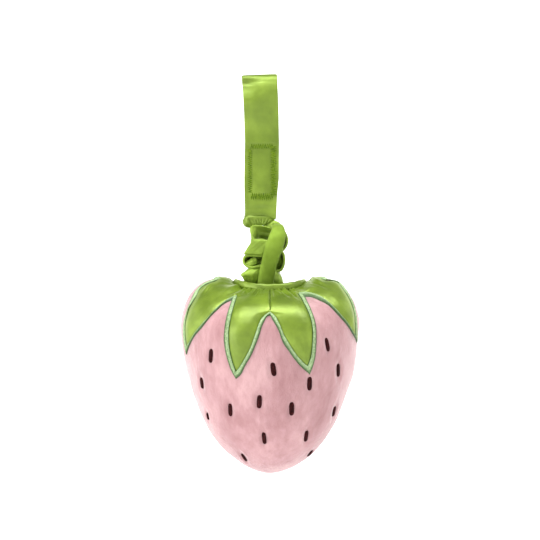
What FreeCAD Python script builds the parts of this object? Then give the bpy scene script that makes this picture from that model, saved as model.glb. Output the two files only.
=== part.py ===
import FreeCAD, Part
import math
import os
from FreeCAD import Vector as V

# Hanging plush strawberry on a satin hook-and-loop strap with a curled stretch cord.
# Millimetres. +Z up, the strawberry's front faces -Y, +X is to the viewer's right.
# Origin: centre of the round fold at the top of the strap loop, where the bar it hangs from sits.

os.makedirs("parts", exist_ok=True)

# ---- strap ----
STRAP_W = 25.0          # width of the doubled satin band
STRAP_T = 1.6           # thickness of the doubled band
LOOP_R = 7.0            # inside radius of the top fold
PATCH_TOP = -41.5       # hook and loop tape, top edge
PATCH_BOTTOM = -79.5    # hook and loop tape, bottom edge
PATCH_W = 18.0
PATCH_T = 1.0
PATCH_GAP = 0.1         # between the hook tape and the loop tape
TAIL_END = -90.0        # free end of the front tail
BAND_END = -92.6        # lower end of the rear band
TAIL_HINGE_Z = -0.3     # the tail starts this far under the fold's centre
STITCH_T = 0.35         # height of the zigzag stitching
SWING_Z = -94.0         # side-to-side axis (along X) where the strap's lower end bends

# ---- curled cord ----
SWAY_X, SWAY_Z = 7.0, -99.0   # axis (along Y) at the head of the cord, about which the toy sways from side to side
COIL_X = 3.2                  # centre of the coil
COIL_RX, COIL_RY = 16.0, 15.5 # half sizes of the coil's outer shape
COIL_TOP, COIL_BOTTOM = -101.0, -139.4
CORE_R = 1.6                  # elastic core

# ---- strawberry ----
AXIS_X = 7.0            # the strawberry's own axis
SHELL = 1.8             # plush cloth with its pile
SATIN = 0.7             # calyx satin over its backing
BEAD = 1.35             # height of the embroidered border
BEAD_W = 3.0            # width of the embroidered border
LIFT = 0.05             # air between layers that lie on each other
NECK_R = 25.8           # radius where the plush and the calyx end at the neck
COLLAR_IN, COLLAR_OUT = 22.8, 24.8
COLLAR_TOP, COLLAR_BOTTOM = -138.4, -146.4
DISC_Z = -140.0         # top of the neck disc, just under the curled cord
DISC_T = 1.0
POCKET_R, POCKET_BOTTOM = 10.0, -166.0

# outer profile, (radius, height), from the bottom pole over the shoulder into the neck
PROFILE = [(0.0, -272.0), (10.8, -269.8), (21.8, -264.2), (34.8, -252.9), (45.8, -236.0), (54.8, -213.5),
           (60.3, -191.0), (62.6, -168.5), (61.0, -156.4), (56.4, -145.9), (48.4, -138.0), (38.6, -134.7),
           (30.6, -136.6), (NECK_R, -140.4)]


def spline(points, start=None, end=None):
    curve = Part.BSplineCurve()
    pts = [V(r, 0, z) for r, z in points]
    if start is None:
        curve.interpolate(pts)
    else:
        curve.interpolate(Points=pts, InitialTangent=V(*start), FinalTangent=V(*end))
    return curve


OUTER = spline(PROFILE, (1, 0, 0), (-0.72, 0, -0.69))


def offset(curve, d, n=26):
    """The profile moved by d along its outward normal, as a new spline through n points."""
    a, b = curve.FirstParameter, curve.LastParameter
    pts = []
    for i in range(n):
        t = a + (b - a) * i / (n - 1)
        p = curve.value(t)
        tan = curve.tangent(t)[0]
        nrm = V(tan.z, 0, -tan.x)        # right of the direction of travel, which is outward
        q = p + nrm * d
        pts.append((0.0 if i == 0 else q.x, q.z))
    return spline(pts, (1, 0, 0), (-0.72, 0, -0.69))


def shell_face(d0, d1):
    """The half section between two offsets of the outer profile."""
    c0, c1 = offset(OUTER, d0), offset(OUTER, d1)
    edges = [c0.toShape(), Part.makeLine(c0.EndPoint, c1.EndPoint), c1.toShape(), Part.makeLine(c1.StartPoint, c0.StartPoint)]
    return Part.Face(Part.Wire(Part.__sortEdges__(edges)))


AXIS = V(AXIS_X, 0, 0)


def wedge(face, a, b):
    """Revolves a half section from azimuth a to b, in degrees. Azimuth 0 is the front (-Y), 90 is +X."""
    f = face.copy()
    f.rotate(V(0, 0, 0), V(0, 0, 1), a - 90)
    f.translate(AXIS)
    return f.revolve(AXIS, V(0, 0, 1), b - a)


def radius_at(z):
    """Outer radius at a height, on the side of the shoulder that faces outward."""
    best = None
    a, b = OUTER.FirstParameter, OUTER.LastParameter
    lo, hi = a, a + (b - a) * 0.93
    last = OUTER.value(lo)
    for i in range(1, 400):
        p = OUTER.value(lo + (hi - lo) * i / 399)
        if (last.z - z) * (p.z - z) <= 0:
            k = 0 if p.z == last.z else (z - last.z) / (p.z - last.z)
            r = last.x + (p.x - last.x) * k
            best = r if best is None else max(best, r)
        last = p
    return best if best is not None else 40.0


def normal_at(z):
    """(point, outward normal) of the profile at a height, below the shoulder."""
    a, b = OUTER.FirstParameter, OUTER.LastParameter
    best, at = 1e9, a
    for i in range(600):
        t = a + (b - a) * 0.8 * i / 599
        d = abs(OUTER.value(t).z - z)
        if d < best:
            best, at = d, t
    tan = OUTER.tangent(at)[0]
    return OUTER.value(at), V(tan.z, 0, -tan.x)


def save(name, shape):
    solids = shape.Solids
    assert solids, name
    for s in solids:
        assert s.isValid() and s.isClosed() and s.Volume > 0, (name, s.Volume)
    out = solids[0] if len(solids) == 1 else Part.makeCompound(solids)
    out.exportStep("parts/%s.step" % name)
    bb = out.BoundBox
    print("%-32s solids %2d  volume %10.1f  x %.1f..%.1f y %.1f..%.1f z %.1f..%.1f" % (
        name, len(solids), sum(s.Volume for s in solids), bb.XMin, bb.XMax, bb.YMin, bb.YMax, bb.ZMin, bb.ZMax))
    return out


MADE = {}


def make(name, shape):
    MADE[name] = save(name, shape)


# ------------------------------------------------------------------ strawberry body
gore_face = shell_face(-SHELL, 0.0)
QUARTERS = {"front_left": (-90, 0), "front_right": (0, 90), "back_right": (90, 180), "back_left": (180, 270)}
for name, (a, b) in QUARTERS.items():
    make("plush_gore_" + name, wedge(gore_face, a, b))

# ------------------------------------------------------------------ leaves of the calyx
# Outer edge of each leaf's border as (azimuth, height): down the left side, the tip, up the right side.
LEAF_1 = [(-88.0, -139.6), (-76.0, -140.6), (-71.5, -145.2), (-69.5, -153.3), (-70.1, -162.4), (-72.6, -172.1), (-73.6, -179.0), (-72.9, -188.3),
          (-65.7, -182.3), (-58.1, -175.9), (-48.6, -168.9), (-41.4, -161.4), (-36.9, -157.1), (-32.2, -152.8), (-27.4, -149.2)]
LEAF_2 = [(-26.6, -149.2), (-27.6, -154.9), (-29.1, -162.4), (-30.4, -171.1), (-30.9, -177.5), (-30.2, -185.6), (-29.0, -192.1), (-27.2, -198.5),
          (-24.3, -204.4), (-20.2, -201.2), (-16.4, -194.7), (-12.4, -188.3), (-9.1, -180.8), (-6.5, -173.7), (-4.5, -166.8), (-2.6, -161.9), (-0.4, -159.6)]
LEAF_3 = [(0.4, -159.6), (2.7, -165.7), (5.7, -172.1), (8.2, -179.2), (12.4, -185.6), (17.5, -192.1), (22.3, -196.9), (28.3, -201.2),
          (30.3, -195.3), (31.0, -188.8), (31.2, -180.8), (30.8, -172.1), (29.8, -164.0), (28.0, -157.6), (26.4, -151.6), (25.4, -147.6)]
LEAF_4 = [(26.0, -147.2), (30.1, -148.2), (35.6, -150.4), (42.4, -153.8), (48.4, -159.2), (56.3, -165.7), (63.1, -171.1), (69.6, -175.4), (76.4, -180.0),
          (75.2, -173.7), (74.3, -166.8), (74.6, -159.2), (74.8, -154.4), (75.2, -149.5), (76.8, -144.1), (80.2, -140.6), (88.0, -139.6)]


def mirrored(leaf):
    return [(180.0 - az if az >= 0 else -180.0 - az, z) for az, z in reversed(leaf)]


def turned(leaf):
    return [(az + 360.0 if az < 0 else az, z) for az, z in leaf]


# (outline, azimuth where the leaf's part of the cloth starts, azimuth where it ends)
LEAVES = [
    (LEAF_1, -90.0, -27.0), (LEAF_2, -27.0, 0.0),
    (LEAF_3, 0.0, 25.7), (LEAF_4, 25.7, 90.0),
    (mirrored(LEAF_4), 90.0, 154.3), (mirrored(LEAF_3), 154.3, 180.0),
    (turned(mirrored(LEAF_2)), 180.0, 207.0), (turned(mirrored(LEAF_1)), 207.0, 270.0),
]
TOP = -120.0


def leaf_prism(leaf, inset):
    """Prism square to the azimuth of a leaf's tip, over its outline moved inward by inset, and over all the cloth above it."""
    edge = leaf[0]
    tip_a = min(edge, key=lambda e: e[1])[0]
    a = math.radians(tip_a)
    pts = [V(radius_at(z) * math.sin(math.radians(az - tip_a)), z, 0) for az, z in edge]
    # the two ends go out level, past the wedge that the leaf is cut from
    pts = [V(-75.0, TOP, 0), V(-75.0, pts[0].y, 0)] + pts + [V(75.0, pts[-1].y, 0), V(75.0, TOP, 0)]
    face = Part.Face(Part.makePolygon(pts + [pts[0]]))
    if inset:
        face = face.makeOffset2D(-inset, 2, False, False, False)
    m = FreeCAD.Matrix()
    m.A11, m.A21, m.A31 = math.cos(a), math.sin(a), 0.0
    m.A12, m.A22, m.A32 = 0.0, 0.0, 1.0
    m.A13, m.A23, m.A33 = math.sin(a), -math.cos(a), 0.0
    m.A14, m.A24, m.A34 = AXIS_X, 0.0, 0.0
    face = face.copy()
    face.Placement = FreeCAD.Placement(m).multiply(face.Placement)
    return face.extrude(V(math.sin(a), -math.cos(a), 0) * 95)


satin_face = shell_face(LIFT, LIFT + SATIN)
bead_face = shell_face(LIFT, LIFT + BEAD)
for q, (name, (a, b)) in enumerate(QUARTERS.items()):
    pair = LEAVES[2 * q:2 * q + 2]
    panels, borders = [], []
    for leaf in pair:
        skin = wedge(satin_face, leaf[1], leaf[2])
        panels.append(skin.common(leaf_prism(leaf, BEAD_W + LIFT)))
        bead = wedge(bead_face, leaf[1], leaf[2])
        borders.append(bead.common(leaf_prism(leaf, 0.0)).cut(leaf_prism(leaf, BEAD_W)))
    make("calyx_panel_" + name, panels[0].fuse(panels[1]).removeSplitter())
    make("leaf_border_" + name, Part.makeCompound([s for x in borders for s in x.Solids if s.Volume > 1.0]))

# ------------------------------------------------------------------ embroidered seeds
# (azimuth, height, length, width, lean in degrees)
SEEDS = [
    (-42.9, -188.5, 10.8, 3.1, 1), (-58.1, -208.0, 9.0, 3.1, -4), (2.3, -198.2, 9.2, 3.5, -3), (29.5, -207.9, 9.4, 3.5, 1),
    (40.3, -179.1, 9.8, 3.5, -12), (55.1, -199.0, 9.2, 3.5, -2), (78.0, -203.0, 9.0, 3.4, 2), (-8.1, -220.3, 9.2, 3.4, 4),
    (-33.9, -226.3, 9.0, 3.4, -2), (17.5, -225.5, 9.4, 3.3, 3), (-66.6, -231.0, 8.6, 3.2, -8), (66.3, -228.4, 8.8, 3.3, 10),
    (-5.8, -246.2, 9.0, 3.4, -8), (38.9, -245.1, 8.8, 3.3, 10), (-43.4, -258.3, 8.6, 3.2, -6), (75.2, -256.0, 8.4, 3.2, 6),
    (-86.0, -198.0, 9.0, 3.3, 2), (104.0, -214.0, 9.0, 3.4, -3), (128.0, -200.0, 9.2, 3.4, 3), (151.0, -213.0, 9.2, 3.5, -2),
    (178.0, -199.5, 9.2, 3.4, 2), (205.0, -212.0, 9.4, 3.4, -4), (229.0, -201.0, 9.0, 3.4, 2), (250.0, -214.5, 9.0, 3.3, -3),
    (118.0, -233.0, 9.0, 3.3, 6), (140.0, -229.0, 9.0, 3.4, 3), (166.0, -228.5, 9.2, 3.4, -3), (191.0, -230.0, 9.2, 3.3, 4),
    (217.0, -227.0, 9.0, 3.4, -4), (242.0, -235.0, 8.8, 3.2, 5), (176.0, -248.0, 9.0, 3.3, 5), (133.0, -250.0, 8.8, 3.3, 8),
    (222.0, -249.0, 8.6, 3.3, -8), (98.0, -242.0, 8.6, 3.2, 4), (270.0, -222.0, 9.0, 3.3, -2), (267.0, -246.0, 8.6, 3.2, -6),
    (158.0, -262.0, 8.0, 3.1, 8), (20.0, -263.0, 8.0, 3.1, 6),
]
seed_face = shell_face(LIFT, LIFT + 0.8)
groups = {name: [] for name in QUARTERS}
for az, z, length, width, lean in SEEDS:
    p, nrm = normal_at(z)
    a = math.radians(az)
    out, side = V(math.sin(a), -math.cos(a), 0), V(math.cos(a), math.sin(a), 0)
    n3 = out * nrm.x + V(0, 0, nrm.z)
    up = n3.cross(side) * -1
    if up.z < 0:
        up = up * -1
    where = AXIS + out * p.x + V(0, 0, p.z)
    k = math.radians(lean)
    along = up * math.cos(k) + side * math.sin(k)
    ell = Part.Ellipse(V(0, 0, 0), length / 2, width / 2).toShape()
    disc = Part.Face(Part.Wire([ell]))
    m = FreeCAD.Matrix()
    across = n3.cross(along)
    base = where - n3 * 4
    m.A11, m.A21, m.A31 = along.x, along.y, along.z
    m.A12, m.A22, m.A32 = across.x, across.y, across.z
    m.A13, m.A23, m.A33 = n3.x, n3.y, n3.z
    m.A14, m.A24, m.A34 = base.x, base.y, base.z
    disc.Placement = FreeCAD.Placement(m)
    rod = disc.extrude(n3 * 9)
    span = math.degrees(8.0 / max(p.x, 10.0))
    piece = wedge(seed_face, az - span, az + span).common(rod)
    turn = (az + 360) % 360
    key = "front_right" if turn < 90 else "back_right" if turn < 180 else "back_left" if turn < 270 else "front_left"
    groups[key] += [s for s in piece.Solids if s.Volume > 1.0]
for name, solids in groups.items():
    make("seeds_" + name, Part.makeCompound(solids))

# ------------------------------------------------------------------ neck
ring = Part.makePolygon([V(COLLAR_IN, 0, COLLAR_BOTTOM), V(COLLAR_OUT, 0, COLLAR_BOTTOM), V(COLLAR_OUT, 0, COLLAR_TOP - 1),
                         V(COLLAR_OUT - 0.5, 0, COLLAR_TOP), V(COLLAR_IN + 0.5, 0, COLLAR_TOP), V(COLLAR_IN, 0, COLLAR_TOP - 1),
                         V(COLLAR_IN, 0, COLLAR_BOTTOM)])
ring = Part.Face(ring)
ring.translate(AXIS)
collar = ring.revolve(AXIS, V(0, 0, 1), 360)
mid_r, mid_z = (COLLAR_IN + COLLAR_OUT) / 2, COLLAR_BOTTOM + 4.6
channel = Part.makeTorus(mid_r, 0.65, V(AXIS_X, 0, mid_z), V(0, 0, 1))
make("neck_collar", collar.cut(channel))
make("gathering_thread", Part.makeTorus(mid_r, 0.45, V(AXIS_X, 0, mid_z), V(0, 0, 1)))
disc = Part.makeCylinder(COLLAR_IN - 0.1, DISC_T, V(AXIS_X, 0, DISC_Z - DISC_T)).cut(Part.makeCylinder(6.6, 4, V(AXIS_X, 0, DISC_Z - 3)))
make("neck_disc", disc)

# stuffing: everything inside the plush cloth, under the neck disc, with a pocket for the cord's anchor
inner = offset(OUTER, -SHELL - 0.25)
end = inner.EndPoint
under = DISC_Z - DISC_T - 0.2
groove = COLLAR_BOTTOM - 0.3
outline = [inner.toShape()]
corners = [V(end.x, 0, end.z), V(end.x, 0, groove), V(COLLAR_IN - 0.3, 0, groove), V(COLLAR_IN - 0.3, 0, under), V(0, 0, under), inner.StartPoint]
outline += [Part.makeLine(p, q) for p, q in zip(corners, corners[1:])]
fill = Part.Face(Part.Wire(Part.__sortEdges__(outline)))
fill.translate(AXIS)
fill = fill.revolve(AXIS, V(0, 0, 1), 360)
make("stuffing", fill.cut(Part.makeCylinder(POCKET_R, abs(POCKET_BOTTOM - under) + 1, V(AXIS_X, 0, POCKET_BOTTOM))))

# ------------------------------------------------------------------ strap
MID = LOOP_R + STRAP_T / 2       # radius of the band's middle line over the fold
REST_Y = PATCH_T + PATCH_GAP / 2 + STRAP_T / 2 + 0.05   # middle line of each run where the tapes meet


def run_centre(n=24):
    """Middle line of a run on the +Y side: straight down from the fold, then easing in to the tapes."""
    pts = []
    for i in range(n + 1):
        k = i / n
        z = TAIL_HINGE_Z + (PATCH_TOP + 3.0 - TAIL_HINGE_Z) * k
        s = k * k * (3 - 2 * k)
        pts.append((MID + (REST_Y - MID) * s, z))
    return pts


def band(points, sign, end_z, t=STRAP_T):
    """Solid band of the strap's width along a middle line on one side; sign is +1 for the rear run and -1 for the front."""
    left, right = [], []
    pts = points + [(REST_Y, end_z)]
    for i, (y, z) in enumerate(points):
        p, q = points[max(i - 1, 0)], points[min(i + 1, len(points) - 1)]
        dy, dz = q[0] - p[0], q[1] - p[1]
        if i in (0, len(points) - 1):
            dy, dz = 0.0, -1.0
        length = math.hypot(dy, dz)
        ny, nz = -dz / length, dy / length
        left.append(V(0, sign * (y + ny * t / 2), z + nz * t / 2))
        right.append(V(0, sign * (y - ny * t / 2), z - nz * t / 2))
    c0, c1 = Part.BSplineCurve(), Part.BSplineCurve()
    down = V(0, 0, -1)
    c0.interpolate(Points=left, InitialTangent=down, FinalTangent=down)
    c1.interpolate(Points=right, InitialTangent=down, FinalTangent=down)
    a, b = V(0, sign * (REST_Y + t / 2), end_z), V(0, sign * (REST_Y - t / 2), end_z)
    edges = [c0.toShape(), Part.makeLine(left[-1], a), Part.makeLine(a, b), Part.makeLine(b, right[-1]), c1.toShape(), Part.makeLine(right[0], left[0])]
    f = Part.Face(Part.Wire(Part.__sortEdges__(edges)))
    f.translate(V(-STRAP_W / 2, 0, 0))
    return f.extrude(V(STRAP_W, 0, 0))


fold = Part.makeCylinder(LOOP_R + STRAP_T, STRAP_W, V(-STRAP_W / 2, 0, 0), V(1, 0, 0)).cut(
    Part.makeCylinder(LOOP_R, STRAP_W + 2, V(-STRAP_W / 2 - 1, 0, 0), V(1, 0, 0)))
fold = fold.common(Part.makeBox(STRAP_W + 2, 40, 20, V(-STRAP_W / 2 - 1, -20, 0)))
short = Part.makeBox(STRAP_W, STRAP_T, abs(TAIL_HINGE_Z), V(-STRAP_W / 2, LOOP_R, TAIL_HINGE_Z))
rear = band(run_centre(), 1, BAND_END)
make("strap_rear_band", fold.fuse(short).fuse(rear).removeSplitter())
make("strap_front_tail", band(run_centre(), -1, TAIL_END))


def slab(w, y0, y1, z0, z1, x=0.0):
    return Part.makeBox(w, y1 - y0, z1 - z0, V(x - w / 2, y0, z0))


inner_y = PATCH_GAP / 2
make("loop_tape_patch", slab(PATCH_W, inner_y, inner_y + PATCH_T, PATCH_BOTTOM, PATCH_TOP))
make("hook_tape_patch", slab(PATCH_W, -inner_y - PATCH_T, -inner_y, PATCH_BOTTOM, PATCH_TOP))


def stitch_frame(sign):
    """Zigzag stitching as a flat frame over the tape's edges, on a run's outer face."""
    y = REST_Y + STRAP_T / 2
    outer = slab(PATCH_W + 2.8, 0, STITCH_T, PATCH_BOTTOM - 1.4, PATCH_TOP + 0.8)
    hole = slab(PATCH_W - 5.2, -1, 2, PATCH_BOTTOM + 3.6, PATCH_TOP - 3.0)
    f = outer.cut(hole)
    f.translate(V(0, y if sign > 0 else -y - STITCH_T, 0))
    return f


make("loop_tape_stitching", stitch_frame(1))
make("hook_tape_stitching", stitch_frame(-1))

# ------------------------------------------------------------------ folded lower end of the strap
# Thin where it bends from the strap, then a soft pad that narrows to the cord.
pad = Part.makePolygon([V(0, -0.9, -94.7), V(0, 0.9, -94.7), V(0, 3.6, -98.0), V(0, 4.0, -100.2), V(0, 3.4, -100.8),
                        V(0, -3.4, -100.8), V(0, -4.0, -100.2), V(0, -3.6, -98.0), V(0, -0.9, -94.7)])
pad = Part.Face(pad)
pad.translate(V(-12.4, 0, 0))
pad = pad.extrude(V(24.0, 0, 0))
slot = Part.makeBox(8.0, 1.4, 1.2, V(SWAY_X - 4.0, -0.7, -100.8))
make("strap_end_fold", pad.cut(slot))
make("upper_bar_tack", Part.makeBox(8.0, 1.2, 1.0, V(SWAY_X - 4.0, -0.6, -100.75)))

# ------------------------------------------------------------------ curled cord
coil = Part.makeCylinder(COIL_RX, COIL_TOP - COIL_BOTTOM, V(0, 0, COIL_BOTTOM))
coil = coil.makeFillet(5.5, [e for e in coil.Edges if isinstance(e.Curve, Part.Circle)])
core_hole = Part.makeCylinder(CORE_R + 0.1, 60, V(SWAY_X - COIL_X, 0, COIL_BOTTOM - 5))
coil = coil.cut(core_hole)
coil.translate(V(COIL_X, 0, 0))
make("curled_cord_cover", coil)
make("cord_elastic_core", Part.makeCylinder(CORE_R, COIL_TOP - COIL_BOTTOM - 0.4, V(SWAY_X, 0, COIL_BOTTOM + 0.2)))

post = Part.makeCylinder(5.6, 18.0, V(AXIS_X, 0, -139.8 - 18.0))
tab = Part.makeBox(15.0, 3.0, 10.0, V(AXIS_X - 7.5, -1.5, -165.0))
post = post.common(Part.makeBox(14, 7.0, 40, V(AXIS_X - 7, -3.5, -170)))
notch = Part.makeBox(9.0, 1.0, 1.6, V(AXIS_X - 4.5, -1.5, -162.4))
make("cord_lower_end", post.fuse(tab).removeSplitter().cut(notch))
make("lower_bar_tack", Part.makeBox(8.8, 1.2, 1.4, V(AXIS_X - 4.4, -1.75, -162.3)))
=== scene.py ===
import bpy, bmesh
import math
import numpy as np
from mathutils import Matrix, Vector


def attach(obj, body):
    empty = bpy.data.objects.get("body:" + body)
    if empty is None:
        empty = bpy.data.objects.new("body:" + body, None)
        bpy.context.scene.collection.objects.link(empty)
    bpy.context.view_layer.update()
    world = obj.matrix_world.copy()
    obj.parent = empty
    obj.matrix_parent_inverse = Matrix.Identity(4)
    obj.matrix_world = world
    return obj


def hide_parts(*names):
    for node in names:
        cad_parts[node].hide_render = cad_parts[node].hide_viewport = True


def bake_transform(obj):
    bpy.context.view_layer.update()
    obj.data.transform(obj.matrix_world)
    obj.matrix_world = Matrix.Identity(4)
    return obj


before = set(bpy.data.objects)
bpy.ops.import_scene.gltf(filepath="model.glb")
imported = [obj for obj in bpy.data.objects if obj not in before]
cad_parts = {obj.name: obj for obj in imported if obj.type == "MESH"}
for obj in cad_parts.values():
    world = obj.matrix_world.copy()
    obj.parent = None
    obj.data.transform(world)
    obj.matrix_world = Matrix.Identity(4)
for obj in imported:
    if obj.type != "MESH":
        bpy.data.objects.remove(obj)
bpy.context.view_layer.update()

MM = 0.001
AX = 7.04                       # the strawberry's own axis, mm
rng = np.random.default_rng(7)
G = ["front_left", "front_right", "back_right", "back_left"]


# ------------------------------------------------------------------ camera (level, square to the front)
cam_data = bpy.data.cameras.new("camera")
cam_data.lens = 280.0
cam_data.sensor_width = 36.0
cam_data.clip_end = 20.0
cam = bpy.data.objects.new("camera", cam_data)
bpy.context.scene.collection.objects.link(cam)
CAM_D = 0.380 * 280.0 / 36.0
cam.location = (AX * MM, -CAM_D, -0.1290)
cam.rotation_euler = (math.pi / 2, 0, 0)
bpy.context.scene.camera = cam
bpy.context.scene.view_settings.view_transform = "Standard"


# ------------------------------------------------------------------ small helpers
def smooth(x, a, b):
    t = np.clip((np.asarray(x, float) - a) / (b - a), 0, 1)
    return t * t * (3 - 2 * t)


def add_mesh(name, verts_mm, faces, uv=None, smooth_shade=True):
    """verts in mm; uv is one (u, v) per vertex."""
    me = bpy.data.meshes.new(name)
    verts = np.asarray(verts_mm, float) * MM
    me.from_pydata([tuple(v) for v in verts], [], [tuple(int(i) for i in f) for f in faces])
    me.update()
    if uv is not None:
        layer = me.uv_layers.new(name="UVMap")
        idx = np.empty(len(me.loops), int)
        me.loops.foreach_get("vertex_index", idx)
        layer.data.foreach_set("uv", np.asarray(uv, float)[idx].astype(np.float32).ravel())
    if smooth_shade:
        me.polygons.foreach_set("use_smooth", [True] * len(me.polygons))
    ob = bpy.data.objects.new(name, me)
    bpy.context.scene.collection.objects.link(ob)
    return ob


def grid_faces(n, m, wrap_n=False, wrap_m=False, flip=False, base=0):
    out = []
    for i in range(n if wrap_n else n - 1):
        for j in range(m if wrap_m else m - 1):
            a, b = i * m + j, i * m + (j + 1) % m
            c, d = ((i + 1) % n) * m + (j + 1) % m, ((i + 1) % n) * m + j
            f = (base + a, base + b, base + c, base + d)
            out.append(f[::-1] if flip else f)
    return out


def join_grids(name, parts):
    """parts: list of (verts, faces, uv); faces index their own verts."""
    V, F, U, base = [], [], [], 0
    for v, f, u in parts:
        V.append(v)
        U.append(u)
        F += [tuple(int(i) + base for i in face) for face in f]
        base += len(v)
    return add_mesh(name, np.concatenate(V), F, np.concatenate(U))


def attribute(ob, name, values):
    at = ob.data.attributes.new(name, "FLOAT", "POINT")
    at.data.foreach_set("value", np.asarray(values, np.float32))


def catmull(P, t):
    """Catmull-Rom through P (n, k) at float indices t, with the end points mirrored out."""
    P = np.asarray(P, float)
    E = np.vstack([2 * P[0] - P[1], P, 2 * P[-1] - P[-2]])
    t = np.clip(np.asarray(t, float), 0, len(P) - 1 - 1e-9)
    i = np.floor(t).astype(int)
    f = (t - i)[..., None]
    a, b, c, d = E[i], E[i + 1], E[i + 2], E[i + 3]
    return 0.5 * (2 * b + (c - a) * f + (2 * a - 5 * b + 4 * c - d) * f ** 2 + (3 * b - a - 3 * c + d) * f ** 3)


# ------------------------------------------------------------------ node materials
def new_mat(name):
    m = bpy.data.materials.new(name)
    m.use_nodes = True
    nt = m.node_tree
    bsdf = nt.nodes["Principled BSDF"]
    return m, nt, bsdf


def node(nt, kind, **kw):
    n = nt.nodes.new(kind)
    for k, v in kw.items():
        if k.startswith("in_"):
            n.inputs[k[3:].replace("_", " ")].default_value = v
        else:
            setattr(n, k, v)
    return n


def ramp(nt, fac, stops):
    r = nt.nodes.new("ShaderNodeValToRGB")
    els = r.color_ramp.elements
    while len(els) < len(stops):
        els.new(0.5)
    for e, (p, c) in zip(els, stops):
        e.position = p
        e.color = (*c, 1.0)
    nt.links.new(fac, r.inputs["Fac"])
    return r


def srgb(r, g, b):
    def f(c):
        c /= 255.0
        return c / 12.92 if c <= 0.04045 else ((c + 0.055) / 1.055) ** 2.4
    return (f(r), f(g), f(b))


def satin(name, dark, mid, light, rough=0.36, along=(1, 1, 1), weave=1.0, spec=1.0):
    """Woven satin: a fine weave bump, soft broad gloss, a little sheen."""
    m, nt, b = new_mat(name)
    tc = node(nt, "ShaderNodeTexCoord")
    n1 = node(nt, "ShaderNodeTexNoise", in_Scale=55.0, in_Detail=3.0, in_Roughness=0.55)
    nt.links.new(tc.outputs["Object"], n1.inputs["Vector"])
    cr = ramp(nt, n1.outputs["Fac"], [(0.34, dark), (0.50, mid), (0.66, light)])
    nt.links.new(cr.outputs["Color"], b.inputs["Base Color"])
    # the weave: fine noise threads, its scale per axis given by along
    mp = node(nt, "ShaderNodeMapping")
    mp.inputs["Scale"].default_value = (along[0] * 1.0, along[1] * 1.0, along[2] * 1.0)
    nt.links.new(tc.outputs["Object"], mp.inputs["Vector"])
    n2 = node(nt, "ShaderNodeTexNoise", in_Scale=2600.0, in_Detail=2.0, in_Roughness=0.6)
    nt.links.new(mp.outputs["Vector"], n2.inputs["Vector"])
    n3 = node(nt, "ShaderNodeTexNoise", in_Scale=260.0, in_Detail=3.0, in_Roughness=0.6)
    nt.links.new(tc.outputs["Object"], n3.inputs["Vector"])
    add = node(nt, "ShaderNodeMath", operation="MULTIPLY_ADD")
    nt.links.new(n3.outputs["Fac"], add.inputs[0])
    add.inputs[1].default_value = 1.6
    nt.links.new(n2.outputs["Fac"], add.inputs[2])
    bump = node(nt, "ShaderNodeBump")
    bump.inputs["Strength"].default_value = 0.22 * weave
    bump.inputs["Distance"].default_value = 0.0004
    nt.links.new(add.outputs[0], bump.inputs["Height"])
    nt.links.new(bump.outputs["Normal"], b.inputs["Normal"])
    rr = node(nt, "ShaderNodeMapRange")
    rr.inputs["To Min"].default_value = rough - 0.05
    rr.inputs["To Max"].default_value = rough + 0.10
    nt.links.new(n3.outputs["Fac"], rr.inputs["Value"])
    nt.links.new(rr.outputs["Result"], b.inputs["Roughness"])
    b.inputs["Metallic"].default_value = 0.30
    b.inputs["Specular IOR Level"].default_value = spec
    b.inputs["Specular Tint"].default_value = (0.93, 1.0, 0.55, 1.0)
    b.inputs["Sheen Weight"].default_value = 0.12
    b.inputs["Sheen Roughness"].default_value = 0.30
    b.inputs["Sheen Tint"].default_value = (0.85, 0.95, 0.6, 1.0)
    return m


def plush_mat():
    m, nt, b = new_mat("pink_short_pile")
    tc = node(nt, "ShaderNodeTexCoord")
    mp = node(nt, "ShaderNodeMapping")
    mp.inputs["Scale"].default_value = (1.0, 1.0, 0.42)
    nt.links.new(tc.outputs["Object"], mp.inputs["Vector"])
    big = node(nt, "ShaderNodeTexNoise", in_Scale=42.0, in_Detail=3.0, in_Roughness=0.55)
    nt.links.new(mp.outputs["Vector"], big.inputs["Vector"])
    mid = node(nt, "ShaderNodeTexNoise", in_Scale=230.0, in_Detail=4.0, in_Roughness=0.65)
    nt.links.new(mp.outputs["Vector"], mid.inputs["Vector"])
    mix = node(nt, "ShaderNodeMath", operation="MULTIPLY_ADD")
    nt.links.new(mid.outputs["Fac"], mix.inputs[0])
    mix.inputs[1].default_value = 0.55
    nt.links.new(big.outputs["Fac"], mix.inputs[2])
    cr = ramp(nt, mix.outputs[0], [(0.50, srgb(152, 112, 114)), (0.76, srgb(169, 130, 132)), (1.0, srgb(187, 150, 151))])
    nt.links.new(cr.outputs["Color"], b.inputs["Base Color"])
    fine = node(nt, "ShaderNodeTexNoise", in_Scale=1500.0, in_Detail=3.0, in_Roughness=0.7)
    nt.links.new(mp.outputs["Vector"], fine.inputs["Vector"])
    h = node(nt, "ShaderNodeMath", operation="MULTIPLY_ADD")
    nt.links.new(mid.outputs["Fac"], h.inputs[0])
    h.inputs[1].default_value = 1.8
    nt.links.new(fine.outputs["Fac"], h.inputs[2])
    bump = node(nt, "ShaderNodeBump")
    bump.inputs["Strength"].default_value = 0.5
    bump.inputs["Distance"].default_value = 0.0007
    nt.links.new(h.outputs[0], bump.inputs["Height"])
    nt.links.new(bump.outputs["Normal"], b.inputs["Normal"])
    b.inputs["Roughness"].default_value = 0.92
    b.inputs["Specular IOR Level"].default_value = 0.15
    b.inputs["Sheen Weight"].default_value = 0.85
    b.inputs["Sheen Roughness"].default_value = 0.36
    b.inputs["Sheen Tint"].default_value = (1.0, 0.90, 0.91, 1.0)
    b.inputs["Subsurface Weight"].default_value = 0.0
    return m


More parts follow.
